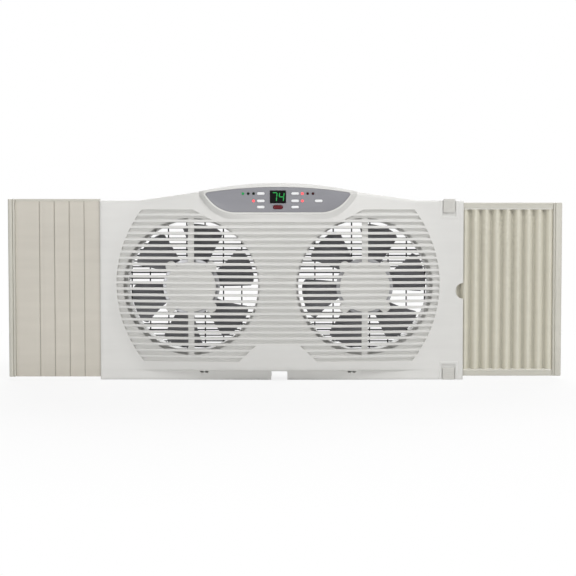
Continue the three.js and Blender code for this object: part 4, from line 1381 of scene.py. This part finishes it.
class FAN_OT_shafts(bpy.types.Operator):
    """Motor shafts with chamfered ends, and the nuts that hold the impellers"""
    bl_idname = "window_fan.shafts"
    bl_label = "Shafts and nuts"

    def execute(self, context):
        for side, way in (("left", -1), ("right", 1)):
            x = way * fan_offset
            low, high = local_box(f"shaft_{side}")
            radius = (high.x - low.x) / 2
            profile = [(1e-5, low.y), (radius - 0.0006, low.y), (radius, low.y + 0.0006)]
            nut_low, nut_high = local_box(f"impeller_nut_{side}")
            thread = nut_low.y - 0.001
            profile.append((radius, thread))
            pitch, at = 0.0008, thread
            while at + pitch < high.y - 0.0009:
                profile += [(radius - 0.00035, at + pitch * 0.5), (radius, at + pitch)]
                at += pitch
            profile += [(radius - 0.0009, high.y - 0.0001), (radius - 0.0011, high.y),
                        (1e-5, high.y)]
            made = turned(f"shaft_{side}_steel", profile, x, fan_height, 40)
            dressed(made, "steel", f"{side}_fan", "bright_steel", f"shaft_{side}")
            across = (nut_high.z - nut_low.z) / 2 / math.cos(math.radians(30))
            across = min(across, (nut_high.x - nut_low.x) / 2)
            nut = prism(f"impeller_nut_{side}_steel",
                        circle(across, x, fan_height, 6), nut_low.y, nut_high.y)
            dish = [(across * 0.86, nut_low.y - 0.0001), (across * 1.02, nut_low.y + 0.0008),
                    (across * 1.02, nut_high.y - 0.0008), (across * 0.86, nut_high.y + 0.0001)]
            cone = turned("cone", [(1e-5, dish[0][1]), *dish, (1e-5, dish[-1][1])], x,
                          fan_height, 48)
            keep(nut, cone)
            carve(nut, prism("bore", circle(radius + SEAM, x, fan_height, 36), 0, 0.2))
            dressed(nut, "steel", f"{side}_fan", "bright_steel", f"impeller_nut_{side}")
        return {"FINISHED"}


class FAN_OT_motors(bpy.types.Operator):
    """Two closed motors with eared flanges, cooling slots and a bearing boss"""
    bl_idname = "window_fan.motors"
    bl_label = "Motors"

    def execute(self, context):
        sizes = settings().fans
        for side, way in (("left", -1), ("right", 1)):
            x = way * fan_offset
            low, high = local_box(f"motor_{side}")
            nose, rear = low.y, high.y
            face = nose + sizes.flange
            back = face + sizes.flange
            can, soft = sizes.motor_radius, 0.003
            profile = [(1e-5, nose), (0.0082, nose), (0.009, nose + 0.0008), (0.009, face),
                       (can, face), (can, back + 0.0008), (can - 0.0006, back + 0.0012),
                       (can - 0.0006, rear - 0.0065), (can, rear - 0.0060), (can, rear - soft)]
            for i in range(1, 7):
                a = math.radians(90 * i / 6)
                profile.append((can - soft + soft * math.cos(a), rear - soft + soft * math.sin(a)))
            profile += [(0.0130, rear), (0.0122, rear - 0.0008), (0.0090, rear - 0.0008),
                        (0.0084, rear), (1e-5, rear)]
            made = turned(f"motor_{side}_can", profile, x, fan_height, 96)
            reach = sizes.boss_spread * math.sqrt(2)
            rim = [(1e-5, face), (reach - 0.0004, face), (reach, face + 0.0004),
                   (reach, back - 0.0004), (reach - 0.0004, back), (1e-5, back)]
            join(made, turned("flange", rim, x, fan_height, 96))
            for bx, bz in motor_bosses(x):
                ear = turned("ear", [(1e-5, face), (0.0066, face), (0.007, face + 0.0004),
                                     (0.007, back - 0.0004), (0.0066, back), (1e-5, back)],
                             bx, bz, 40)
                join(made, ear)
                carve(made, prism("hole", circle(BORE, bx, bz, 24), face - 0.001, back + 0.001))
            slots = []
            lozenge = ((0.017, -0.0011), (0.027, -0.0011), (0.0277, 0), (0.027, 0.0011),
                       (0.017, 0.0011), (0.0163, 0))
            for i in range(10):
                a = math.radians(36 * i)
                c, s = math.cos(a), math.sin(a)
                outline = [(x + r * c - w * s, fan_height + r * s + w * c) for r, w in lozenge]
                slots.append([at_depth(outline, rear - 0.0012), at_depth(outline, rear + 0.001)])
            carve(made, several("slots", slots))
            shaft_low, shaft_high = local_box(f"shaft_{side}")
            bore = (shaft_high.x - shaft_low.x) / 2 + SEAM
            carve(made, prism("bore", circle(bore, x, fan_height, 36), shaft_low.y - SEAM,
                              rear + 0.001))
            dressed(made, "motor", "body", "motor_steel", f"motor_{side}")
        return {"FINISHED"}


# ---------------------------------------------------------------- control pod

def pod_solid(name, layers):
    """A solid in the pod's tilted plane, from outlines and their depths under the panel's face."""
    return loft(name, [[on_pod(x, depth, rise) for x, rise in outline]
                       for outline, depth in layers])


def pill(x, rise, width, height, inset=0.0):
    half, tall = width / 2 - inset, height / 2 - inset
    return rounded_rect(x - half, x + half, rise - tall, rise + tall, tall * 0.98, 8)


def key_places():
    sizes, pod = settings().controls, settings().pod
    places = []
    for side, way in (("left", -1), ("right", 1)):
        for row, height in enumerate(sizes.key_rows):
            node = f"key_{side}_{row + 1}"
            places.append((node, f"{side}_key_{row + 1}", way * sizes.key_column,
                           height - pod.base))
    places.append(("power_key", "power", sizes.power_key, sizes.key_rows[1] - pod.base))
    return places


def lamp_places(way):
    sizes, pod = settings().controls, settings().pod
    rows = sizes.key_rows
    places = [(way * sizes.lamp_first, rows[1] - pod.base)]
    for i in range(3):
        places.append((way * (sizes.lamp_first + i * sizes.lamp_pitch), rows[0] - pod.base))
    return places


def lens_outline(inset, grow=0.0):
    sizes, pod = settings().controls, settings().pod
    half = (sizes.display_width + grow) / 2 - inset
    tall = (sizes.display_height + grow) / 2 - inset
    middle_rise = sizes.display_at - pod.base
    return rounded_rect(-half, half, middle_rise - tall, middle_rise + tall, 0.0008, 4)


class FAN_OT_control_panel(bpy.types.Operator):
    """Grey control panel with its holes and board posts"""
    bl_idname = "window_fan.control_panel"
    bl_label = "Control panel"

    def execute(self, context):
        sizes, pod = settings().controls, settings().pod
        layers = [(pod_outline(-SEAM - 0.0006), 0.0), (pod_outline(-SEAM - 0.0002), 0.0001),
                  (pod_outline(-SEAM), 0.0005), (pod_outline(-SEAM), pod.thickness)]
        made = pod_solid("control_panel_plate", layers)
        through = (-0.002, pod.thickness + 0.001)
        grow = 2 * SEAM

        def hole(outline):
            carve(made, pod_solid("hole", [(outline, depth) for depth in through]))

        def chamfer(inner, outer):
            carve(made, pod_solid("chamfer", [(outer, -0.0004), (outer, 0.0), (inner, 0.0004)]))

        hole(lens_outline(0, grow))
        chamfer(lens_outline(0, grow), lens_outline(-0.0004, grow))
        low = sizes.key_rows[2] - pod.base
        hole(pill(0, low, sizes.receiver_width + grow, sizes.receiver_height + grow))
        chamfer(pill(0, low, sizes.receiver_width + grow, sizes.receiver_height + grow),
                pill(0, low, sizes.receiver_width + grow, sizes.receiver_height + grow, -0.0004))
        for _, _, x, rise in key_places():
            hole(pill(x, rise, sizes.key_width + grow, sizes.key_height + grow))
            chamfer(pill(x, rise, sizes.key_width + grow, sizes.key_height + grow),
                    pill(x, rise, sizes.key_width + grow, sizes.key_height + grow, -0.0003))
        for way in (-1, 1):
            for x, rise in lamp_places(way):
                hole(circle(sizes.lamp_radius + SEAM, x, rise, 28))
        for x in (-0.080, 0.080):
            for height in (sizes.key_rows[0] - 0.0025, sizes.key_rows[1] - 0.005):
                rise = height - pod.base
                join(made, pod_solid("post", [(circle(0.0025, x, rise, 24), 0.001),
                                              (circle(0.0025, x, rise, 24), 0.0078)]))
        dressed(made, "pod", "body", "pod_grey", "control_panel")
        return {"FINISHED"}


class FAN_OT_keys(bpy.types.Operator):
    """Six pill keys and the power key, each on its own body"""
    bl_idname = "window_fan.keys"
    bl_label = "Keys"

    def execute(self, context):
        sizes = settings().controls
        for node, body, x, rise in key_places():
            shape = [(0.0011, -0.0008), (0.0006, -0.00076), (0.0003, -0.00066), (0.0001, -0.00045),
                     (0, -0.0001), (0, 0.0066)]
            layers = [(pill(x, rise, sizes.key_width, sizes.key_height, inset), depth)
                      for inset, depth in shape]
            made = pod_solid(f"{node}_cap", layers)
            dressed(made, "key", body, "key_white", node, angle=0.9)
        return {"FINISHED"}


class FAN_OT_lamps(bpy.types.Operator):
    """Small domed lenses in front of the light pipes, lit and unlit"""
    bl_idname = "window_fan.lamps"
    bl_label = "Lamps"

    def execute(self, context):
        sizes = settings().controls
        paints = {-1: ("lit_red", "dark_green", "dark_green", "lit_green"),
                  1: ("lit_red", "lit_red", "dark_red", "dark_red")}
        for side, way in (("left", -1), ("right", 1)):
            for i, (x, rise) in enumerate(lamp_places(way)):
                radius = sizes.lamp_radius
                layers = [(circle(radius * share, x, rise, 28), depth) for share, depth in
                          ((0.15, -0.0005), (0.5, -0.00043), (0.78, -0.00026), (0.94, -0.00005),
                           (1.0, 0.00015), (1.0, 0.00029))]
                made = pod_solid(f"lamp_{side}_{i + 1}", layers)
                dressed(made, paints[way][i], "body", "lamp_clear", angle=0.9)
            kept("pipe", f"light_pipe_{side}")
        return {"FINISHED"}


def segment(a, b, half):
    """The outline of one display segment between two points, pointed at both ends."""
    ax, az = a
    bx, bz = b
    span = math.hypot(bx - ax, bz - az)
    ux, uz = (bx - ax) / span, (bz - az) / span
    nx, nz = -uz * half, ux * half
    a2 = (ax + ux * half, az + uz * half)
    b2 = (bx - ux * half, bz - uz * half)
    return [a, (a2[0] + nx, a2[1] + nz), (b2[0] + nx, b2[1] + nz), b,
            (b2[0] - nx, b2[1] - nz), (a2[0] - nx, a2[1] - nz)]


SEGMENTS = {"7": "abc", "4": "fgbc"}


def digit(value, across, rise):
    """Segments of one slanted digit."""
    sizes = settings().controls
    half_wide, half_tall, slant = sizes.digit_width / 2, sizes.digit_height / 2, 0.1
    trim = 0.0002

    def at(side, level):
        z = level * half_tall
        return (across + side * half_wide + slant * z, rise + z)

    ends = {"a": (at(-1, 1), at(1, 1)), "b": (at(1, 1), at(1, 0)), "c": (at(1, 0), at(1, -1)),
            "d": (at(-1, -1), at(1, -1)), "e": (at(-1, 0), at(-1, -1)), "f": (at(-1, 1), at(-1, 0)),
            "g": (at(-1, 0), at(1, 0))}
    out = []
    for key in SEGMENTS[value]:
        (ax, az), (bx, bz) = ends[key]
        span = math.hypot(bx - ax, bz - az)
        ux, uz = (bx - ax) / span * trim, (bz - az) / span * trim
        out.append(segment((ax + ux, az + uz), (bx - ux, bz - uz), sizes.digit_stroke / 2))
    return out


class FAN_OT_display(bpy.types.Operator):
    """Smoked display with two plain lit digits, and the remote control's receiver"""
    bl_idname = "window_fan.display"
    bl_label = "Display"

    def execute(self, context):
        sizes, pod = settings().controls, settings().pod
        made = pod_solid("display_window", [(lens_outline(0.0003), SEAM), (lens_outline(0), 0.0006),
                                            (lens_outline(0), 0.0026)])
        dressed(made, "window", "body", "display_black", "display_lens")
        solids = []
        for value, across in (("7", -sizes.digit_spread), ("4", sizes.digit_spread)):
            for outline in digit(value, across, sizes.display_at - pod.base):
                solids.append([[on_pod(x, depth, rise) for x, rise in outline]
                               for depth in (0.00015, 0.00028)])
        dressed(several("display_digits", solids), "digit", "body", "display_black")
        low = sizes.key_rows[2] - pod.base
        layers = [(pill(0, low, sizes.receiver_width, sizes.receiver_height, inset), depth)
                  for inset, depth in ((0.0022, 0.00032), (0.0012, 0.00042), (0.0003, 0.0008),
                                       (0, 0.0013), (0, 0.0026))]
        made = pod_solid("receiver_window", layers)
        dressed(made, "receiver", "body", "receiver_red", "receiver_lens", angle=0.9)
        kept("board", "circuit_board")
        return {"FINISHED"}


# ---------------------------------------------------------------- side panels

def upright(name, section, z0, z1, soft=0.0008):
    """A bar along Z from its section in x and depth, with softened ends."""
    cx = sum(x for x, _ in section) / len(section)
    cy = sum(y for _, y in section) / len(section)
    rings = []
    for share, z in ((1, z0), (0.45, z0 + soft * 0.12), (0.12, z0 + soft * 0.5), (0, z0 + soft),
                     (0, z1 - soft), (0.12, z1 - soft * 0.5), (0.45, z1 - soft * 0.12), (1, z1)):
        rings.append([(x + (cx - x) * share * soft / max(abs(cx - x), soft) * 0.9,
                       y + (cy - y) * share * soft / max(abs(cy - y), soft) * 0.9, z)
                      for x, y in section])
    return loft(name, rings)


def end_bar_section(inner, outer, front, rear):
    """A bar's section: a bead on the inner side, a shallow line, then a softly crowned face."""
    way = 1 if outer > inner else -1
    width = abs(outer - inner)
    face = [(0.0, 0.0016), (0.0004, 0.0009), (0.0013, 0.0003), (0.0023, 0.0003), (0.0029, 0.0011),
            (0.0034, 0.0026), (0.0039, 0.0011), (0.0052, 0.0004)]
    crown = [(0.0052 + (width - 0.0052 - 0.0028) * share, 0.0004 * (1 - share) + 0.0001 * share
              - 0.0004 * math.sin(math.pi * share)) for share in (0.25, 0.5, 0.75)]
    corner = []
    for i in range(6):
        a = math.radians(90 * i / 5)
        corner.append((width - 0.0028 + 0.0028 * math.sin(a), 0.0001 + 0.0028 * (1 - math.cos(a))))
    section = [(inner + way * x, front + max(0.0, y)) for x, y in face + crown + corner]
    section += [(outer, rear - 0.0008), (outer - way * 0.0008, rear), (inner + way * 0.0006, rear),
                (inner, rear - 0.0006)]
    return section


def level_bar(name, x0, x1, section, soft=0.0006):
    """A bar along X from its section in depth and height."""
    cy = sum(y for y, _ in section) / len(section)
    cz = sum(z for _, z in section) / len(section)
    rings = []
    for share, x in ((1, x0), (0.12, x0 + soft * 0.5), (0, x0 + soft), (0, x1 - soft),
                     (0.12, x1 - soft * 0.5), (1, x1)):
        rings.append([(x, y + math.copysign(soft * share * 0.9, cy - y),
                       z + math.copysign(soft * share * 0.9, cz - z)) for y, z in section])
    return loft(name, rings)


def rail_section(front, rear, z0, z1, line=0.62):
    """A rail's section with a fine line along its face and an open channel behind."""
    at = z0 + (z1 - z0) * line
    soft = 0.0007
    return [(front + soft, z0), (front + 0.0002, z0 + 0.0002), (front, z0 + soft),
            (front, at - 0.0005), (front + 0.0005, at), (front, at + 0.0005), (front, z1 - soft),
            (front + 0.0002, z1 - 0.0002), (front + soft, z1), (rear - soft, z1),
            (rear, z1 - soft), (rear, z1 - 0.0024), (front + 0.0042, z1 - 0.0024),
            (front + 0.0042, z0 + 0.0024), (rear, z0 + 0.0024), (rear, z0 + soft),
            (rear - soft, z0)]


def strip_face(x, start, end):
    """How far the strip curtain's face falls back: a groove, darkened by the strip finish's painted
    shade, with a bead on its right.
    """
    sizes = settings().panels
    first = body_left - sizes.first_strip
    depth = 0.0
    for i in range(sizes.strips):
        off = x - (first - i * sizes.strip_width)
        if -0.0004 <= off <= 0.0022:
            depth = max(depth, 0.0011 * (1 - abs((off - 0.0009) / 0.0013)))
        elif 0.0022 < off < 0.0052:
            depth = max(depth, 0.00025 * (1 - math.sin(math.pi * (off - 0.0022) / 0.003)))
    edge = min(x - start, end - x)
    return depth + rounding(edge, 0.0008)


class FAN_OT_left_panel(bpy.types.Operator):
    """Left panel: end bar, two rails and the strip curtain between them"""
    bl_idname = "window_fan.left_panel"
    bl_label = "Left panel"

    def execute(self, context):
        sizes = settings().panels
        low, high = local_box("left_end_bar")
        section = end_bar_section(high.x, low.x, low.y, high.y)
        bar = upright("left_end_bar_moulding", section, low.z, high.z, 0.0012)
        dressed(bar, "bar", "left_panel", "panel_beige", "left_end_bar")
        low, high = local_box("left_strip_sheet")
        first = body_left - sizes.first_strip
        fine = [0.0, 0.0001, 0.0003, 0.0008]
        columns = [low.x + step for step in fine] + [high.x - step for step in fine]
        for i in range(sizes.strips):
            at = first - i * sizes.strip_width
            columns += [at + off for off in (-0.0006, -0.0004, 0.0, 0.0005, 0.0009, 0.0013, 0.0018,
                                             0.0022, 0.0028, 0.0034, 0.004, 0.0046, 0.0052)]
        columns = merged(columns, spread(low.x + 0.0008, high.x - 0.0008, 20))
        columns = [x for x in columns if low.x <= x <= high.x]

        def front(x, z):
            soft = rounding(min(z - low.z, high.z - z), 0.0007)
            return (x, low.y + min(strip_face(x, low.x, high.x) + soft, 0.0014), z)

        rows = [low.z + step for step in fine] + [high.z - step for step in reversed(fine)]
        rows = merged(rows, spread(low.z + 0.0008, high.z - 0.0008, 6))
        made = sheet("left_strip_curtain", columns, rows, front, lambda x, z: (x, high.y, z))
        dressed(made, "strip", "left_panel", "sheet_beige", "left_strip_sheet", angle=0.5)
        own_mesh(made)
        kept("bar", "left_top_rail", "left_bottom_rail", "left_jamb_strip", soften=0.0006)
        return {"FINISHED"}


class FAN_OT_right_panel(bpy.types.Operator):
    """Right panel: end bar, two rails and the pleated sheet between them"""
    bl_idname = "window_fan.right_panel"
    bl_label = "Right panel"

    def execute(self, context):
        sizes = settings().panels
        low, high = local_box("right_end_bar")
        bar = upright("right_end_bar_moulding",
                      end_bar_section(low.x, high.x, low.y, high.y), low.z, high.z, 0.0012)
        dressed(bar, "bar", "right_panel", "panel_beige", "right_end_bar")
        for node, line in (("right_top_rail", 0.62), ("right_bottom_rail", 0.7)):
            low, high = local_box(node)
            made = level_bar(f"{node}_moulding", low.x, high.x,
                             rail_section(low.y, high.y, low.z, high.z, line))
            dressed(made, "bar", "right_panel", "panel_beige", node)
        low, high = local_box("right_pleated_sheet")
        count = round((high.x - low.x) / sizes.pleat_pitch)
        half = sizes.pleat_thickness / 2
        middle_y = (low.y + high.y) / 2
        swing = (high.y - low.y) / 2 - half

        def wave(x):
            turn = 2 * math.pi * count * (x - low.x) / (high.x - low.x)
            share = (1 - math.sin(turn)) / 2
            return middle_y + swing * (1 - 2 * share ** sizes.pleat_fullness)

        def slope(x):
            step = 0.0002
            a, b = max(low.x, x - step), min(high.x, x + step)
            return (wave(b) - wave(a)) / (b - a)

        def side(x, z, way):
            tilt = slope(x)
            long = math.sqrt(1 + tilt * tilt)
            across = min(max(x + way * -half * tilt / long, low.x), high.x)
            return (across, wave(x) + way * half / long, z)

        columns = spread(low.x, high.x, count * 26)
        rows = spread(low.z, high.z, 4)
        made = sheet("right_pleated_curtain", columns, rows, lambda x, z: side(x, z, -1),
                     lambda x, z: side(x, z, 1))
        dressed(made, "pleat", "right_panel", "sheet_beige", "right_pleated_sheet", angle=0.9)
        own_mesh(made)
        kept("bar", "right_jamb_strip", soften=0.0006)
        return {"FINISHED"}


class FAN_OT_locks(bpy.types.Operator):
    """Two slide locks with a fine texture, each with its web and foot"""
    bl_idname = "window_fan.locks"
    bl_label = "Slide locks"

    def execute(self, context):
        for node, body in (("lock_top", "top_lock"), ("lock_bottom", "bottom_lock")):
            low, high = local_box(node)
            pad = soft_box(f"{node}_pad", Vector((low.x, low.y, low.z)),
                           Vector((high.x, 0.0015, high.z)), 0.0008)
            centre = (low.x + high.x) / 2
            up = (low.z + high.z) / 2
            join(pad, block("web", centre - LOCK_WEB, centre + LOCK_WEB, 0, high.y,
                            up - LOCK_WEB_HEIGHT, up + LOCK_WEB_HEIGHT))
            way = -1 if node == "lock_top" else 1
            z0, z1 = sorted((up - way * LOCK_WEB_HEIGHT, up + way * 0.0045))
            join(pad, soft_box("foot", Vector((centre - 0.0085, PLATE + SEAM, z0)),
                               Vector((centre + 0.0085, high.y, z1)), 0.0004))
            ridges = []
            for i in range(5):
                z = up + (i - 2) * 0.0032
                notch = ((low.y - 0.0004, z - 0.0005), (low.y + 0.00025, z),
                         (low.y - 0.0004, z + 0.0005))
                ridges.append([[(x, y, z) for y, z in notch]
                               for x in (low.x + 0.003, high.x - 0.003)])
            carve(pad, several("ridges", ridges))
            dressed(pad, "lock", body, "panel_beige", node)
        return {"FINISHED"}


# ---------------------------------------------------------------- pieces kept from the frame

def kept(paint, *nodes, soften=0.0):
    """Gives nodes of the frame their finish, and their edges a small rounding."""
    for name in nodes:
        piece = bpy.data.objects[name]
        for place in piece.material_slots:
            place.material = finish(paint)
        if soften:
            edge = piece.modifiers.new("rounded edges", "BEVEL")
            edge.width = soften
            edge.segments = 3
            edge.limit_method = "ANGLE"
            edge.angle_limit = math.radians(40)
            edge.harden_normals = True
    return nodes


# ---------------------------------------------------------------- stage

def studio_light(name, place, aim, size, power, tone=(1.0, 1.0, 1.0)):
    lamp = bpy.data.lights.new(name, "AREA")
    lamp.shape = "RECTANGLE"
    lamp.size, lamp.size_y = size
    lamp.energy = power
    lamp.color = tone
    piece = bpy.data.objects.new(name, lamp)
    bpy.context.scene.collection.objects.link(piece)
    piece.location = place
    piece.rotation_euler = (Vector(aim) - Vector(place)).to_track_quat("-Z", "Y").to_euler()
    return piece


class FAN_OT_stage(bpy.types.Operator):
    """Pale floor, white background, soft studio light and the camera"""
    bl_idname = "window_fan.stage"
    bl_label = "Stage"

    def execute(self, context):
        sizes = settings().stage
        scene = context.scene
        scene.view_settings.view_transform = "Standard"
        world = bpy.data.worlds.new("Studio World")
        scene.world = world
        sky = Tree(world)
        sky.tree.nodes.clear()
        soft = sky.node("Background", {}, {"Color": (1, 1, 1, 1), "Strength": sizes.ambient})
        plain = sky.seen("Is Camera Ray", "Is Glossy Ray", "Is Transmission Ray")
        sky.node("OutputWorld", {}, {"Surface": sky.blend(plain, soft, sky.white("Background"))},
                 None)

        half = 8
        floor = bpy.data.meshes.new("floor")
        floor.from_pydata([(-half, -half, -0.0002), (half, -half, -0.0002),
                           (half, half, -0.0002), (-half, half, -0.0002)], [], [(0, 1, 2, 3)])
        ground = bpy.data.objects.new("floor", floor)
        scene.collection.objects.link(ground)
        shader = Shader("pale_floor")
        speck = shader.noise(shader.place(), 40.0, 3.0)
        shader.set(Base_Color=shader.mix(speck, (0.78, 0.78, 0.78, 1), (0.82, 0.82, 0.82, 1)),
                   Roughness=0.8)
        away = shader.node("VectorMath", {"operation": "LENGTH"}, {0: shader.place()}, "Value")
        share = shader.range(away, 0.55, 1.1, 0.82, 1.0) * shader.seen("Is Camera Ray")
        surface = Socket(shader, shader.surface.outputs[0])
        shader.link(shader.blend(share, surface, shader.white("Emission")),
                    shader.tree.nodes["Material Output"].inputs["Surface"])
        floor.materials.append(shader.material)

        studio_light("key_light", (1.0, FACE - 1.5, 2.1), (0, FACE, 0.16), (1.2, 0.9), 34)
        studio_light("front_light", (-0.8, FACE - 2.5, 0.5), (0, FACE, 0.16), (1.0, 0.8), 14)
        studio_light("back_light", (0.2, FACE + 2.2, 1.3), (0, FACE, 0.16), (3.4, 1.6), 55)
        studio_light("top_light", (0, FACE - 0.2, 2.6), (0, FACE, 0.0), (2.4, 1.6), 13)

        camera = bpy.data.cameras.new("camera")
        camera.lens = 36 * sizes.distance / sizes.frame_width
        camera.sensor_width = 36
        eye = bpy.data.objects.new("camera", camera)
        scene.collection.objects.link(eye)
        tilt = math.radians(sizes.pitch)
        eye.location = (sizes.aim_x, FACE - sizes.distance * math.cos(tilt),
                        sizes.aim_height + sizes.distance * math.sin(tilt))
        eye.rotation_euler = (math.radians(90) - tilt, 0, 0)
        scene.camera = eye
        return {"FINISHED"}


# ---------------------------------------------------------------- add-on

STEPS = (FAN_OT_front_cover, FAN_OT_rear_housing, FAN_OT_rear_grille, FAN_OT_cord_bush,
         FAN_OT_screws, FAN_OT_motors, FAN_OT_shafts, FAN_OT_impellers, FAN_OT_control_panel,
         FAN_OT_keys, FAN_OT_lamps, FAN_OT_display, FAN_OT_left_panel, FAN_OT_right_panel,
         FAN_OT_locks, FAN_OT_stage)


class FAN_PT_pieces(bpy.types.Panel):
    """Lists the fan's pieces and their sizes"""
    bl_idname = "FAN_PT_pieces"
    bl_label = "Window fan"
    bl_space_type = "VIEW_3D"
    bl_region_type = "UI"
    bl_category = "Window fan"

    def draw(self, context):
        layout = self.layout
        for step in STEPS:
            layout.operator(step.bl_idname)
        for group in context.scene.window_fan.bl_rna.properties:
            if group.type != "POINTER" or group.identifier == "rna_type":
                continue
            box = layout.box()
            box.label(text=group.name or group.identifier)
            sizes = getattr(context.scene.window_fan, group.identifier)
            for item in sizes.bl_rna.properties:
                if item.identifier not in ("rna_type", "name"):
                    box.prop(sizes, item.identifier)


CLASSES = (CoverSizes, SlotSizes, FanSizes, HousingSizes, GrilleSizes, PodSizes, ControlSizes,
           PanelSizes, Colours, StageSizes, WindowFan, *STEPS, FAN_PT_pieces)


def register():
    for item in CLASSES:
        bpy.utils.register_class(item)
    bpy.types.Scene.window_fan = PointerProperty(type=WindowFan)


def unregister():
    del bpy.types.Scene.window_fan
    for item in reversed(CLASSES):
        bpy.utils.unregister_class(item)


def main():
    register()
    for step in STEPS:
        group, name = step.bl_idname.split(".")
        getattr(getattr(bpy.ops, group), name)()


if __name__ == "__main__":
    main()
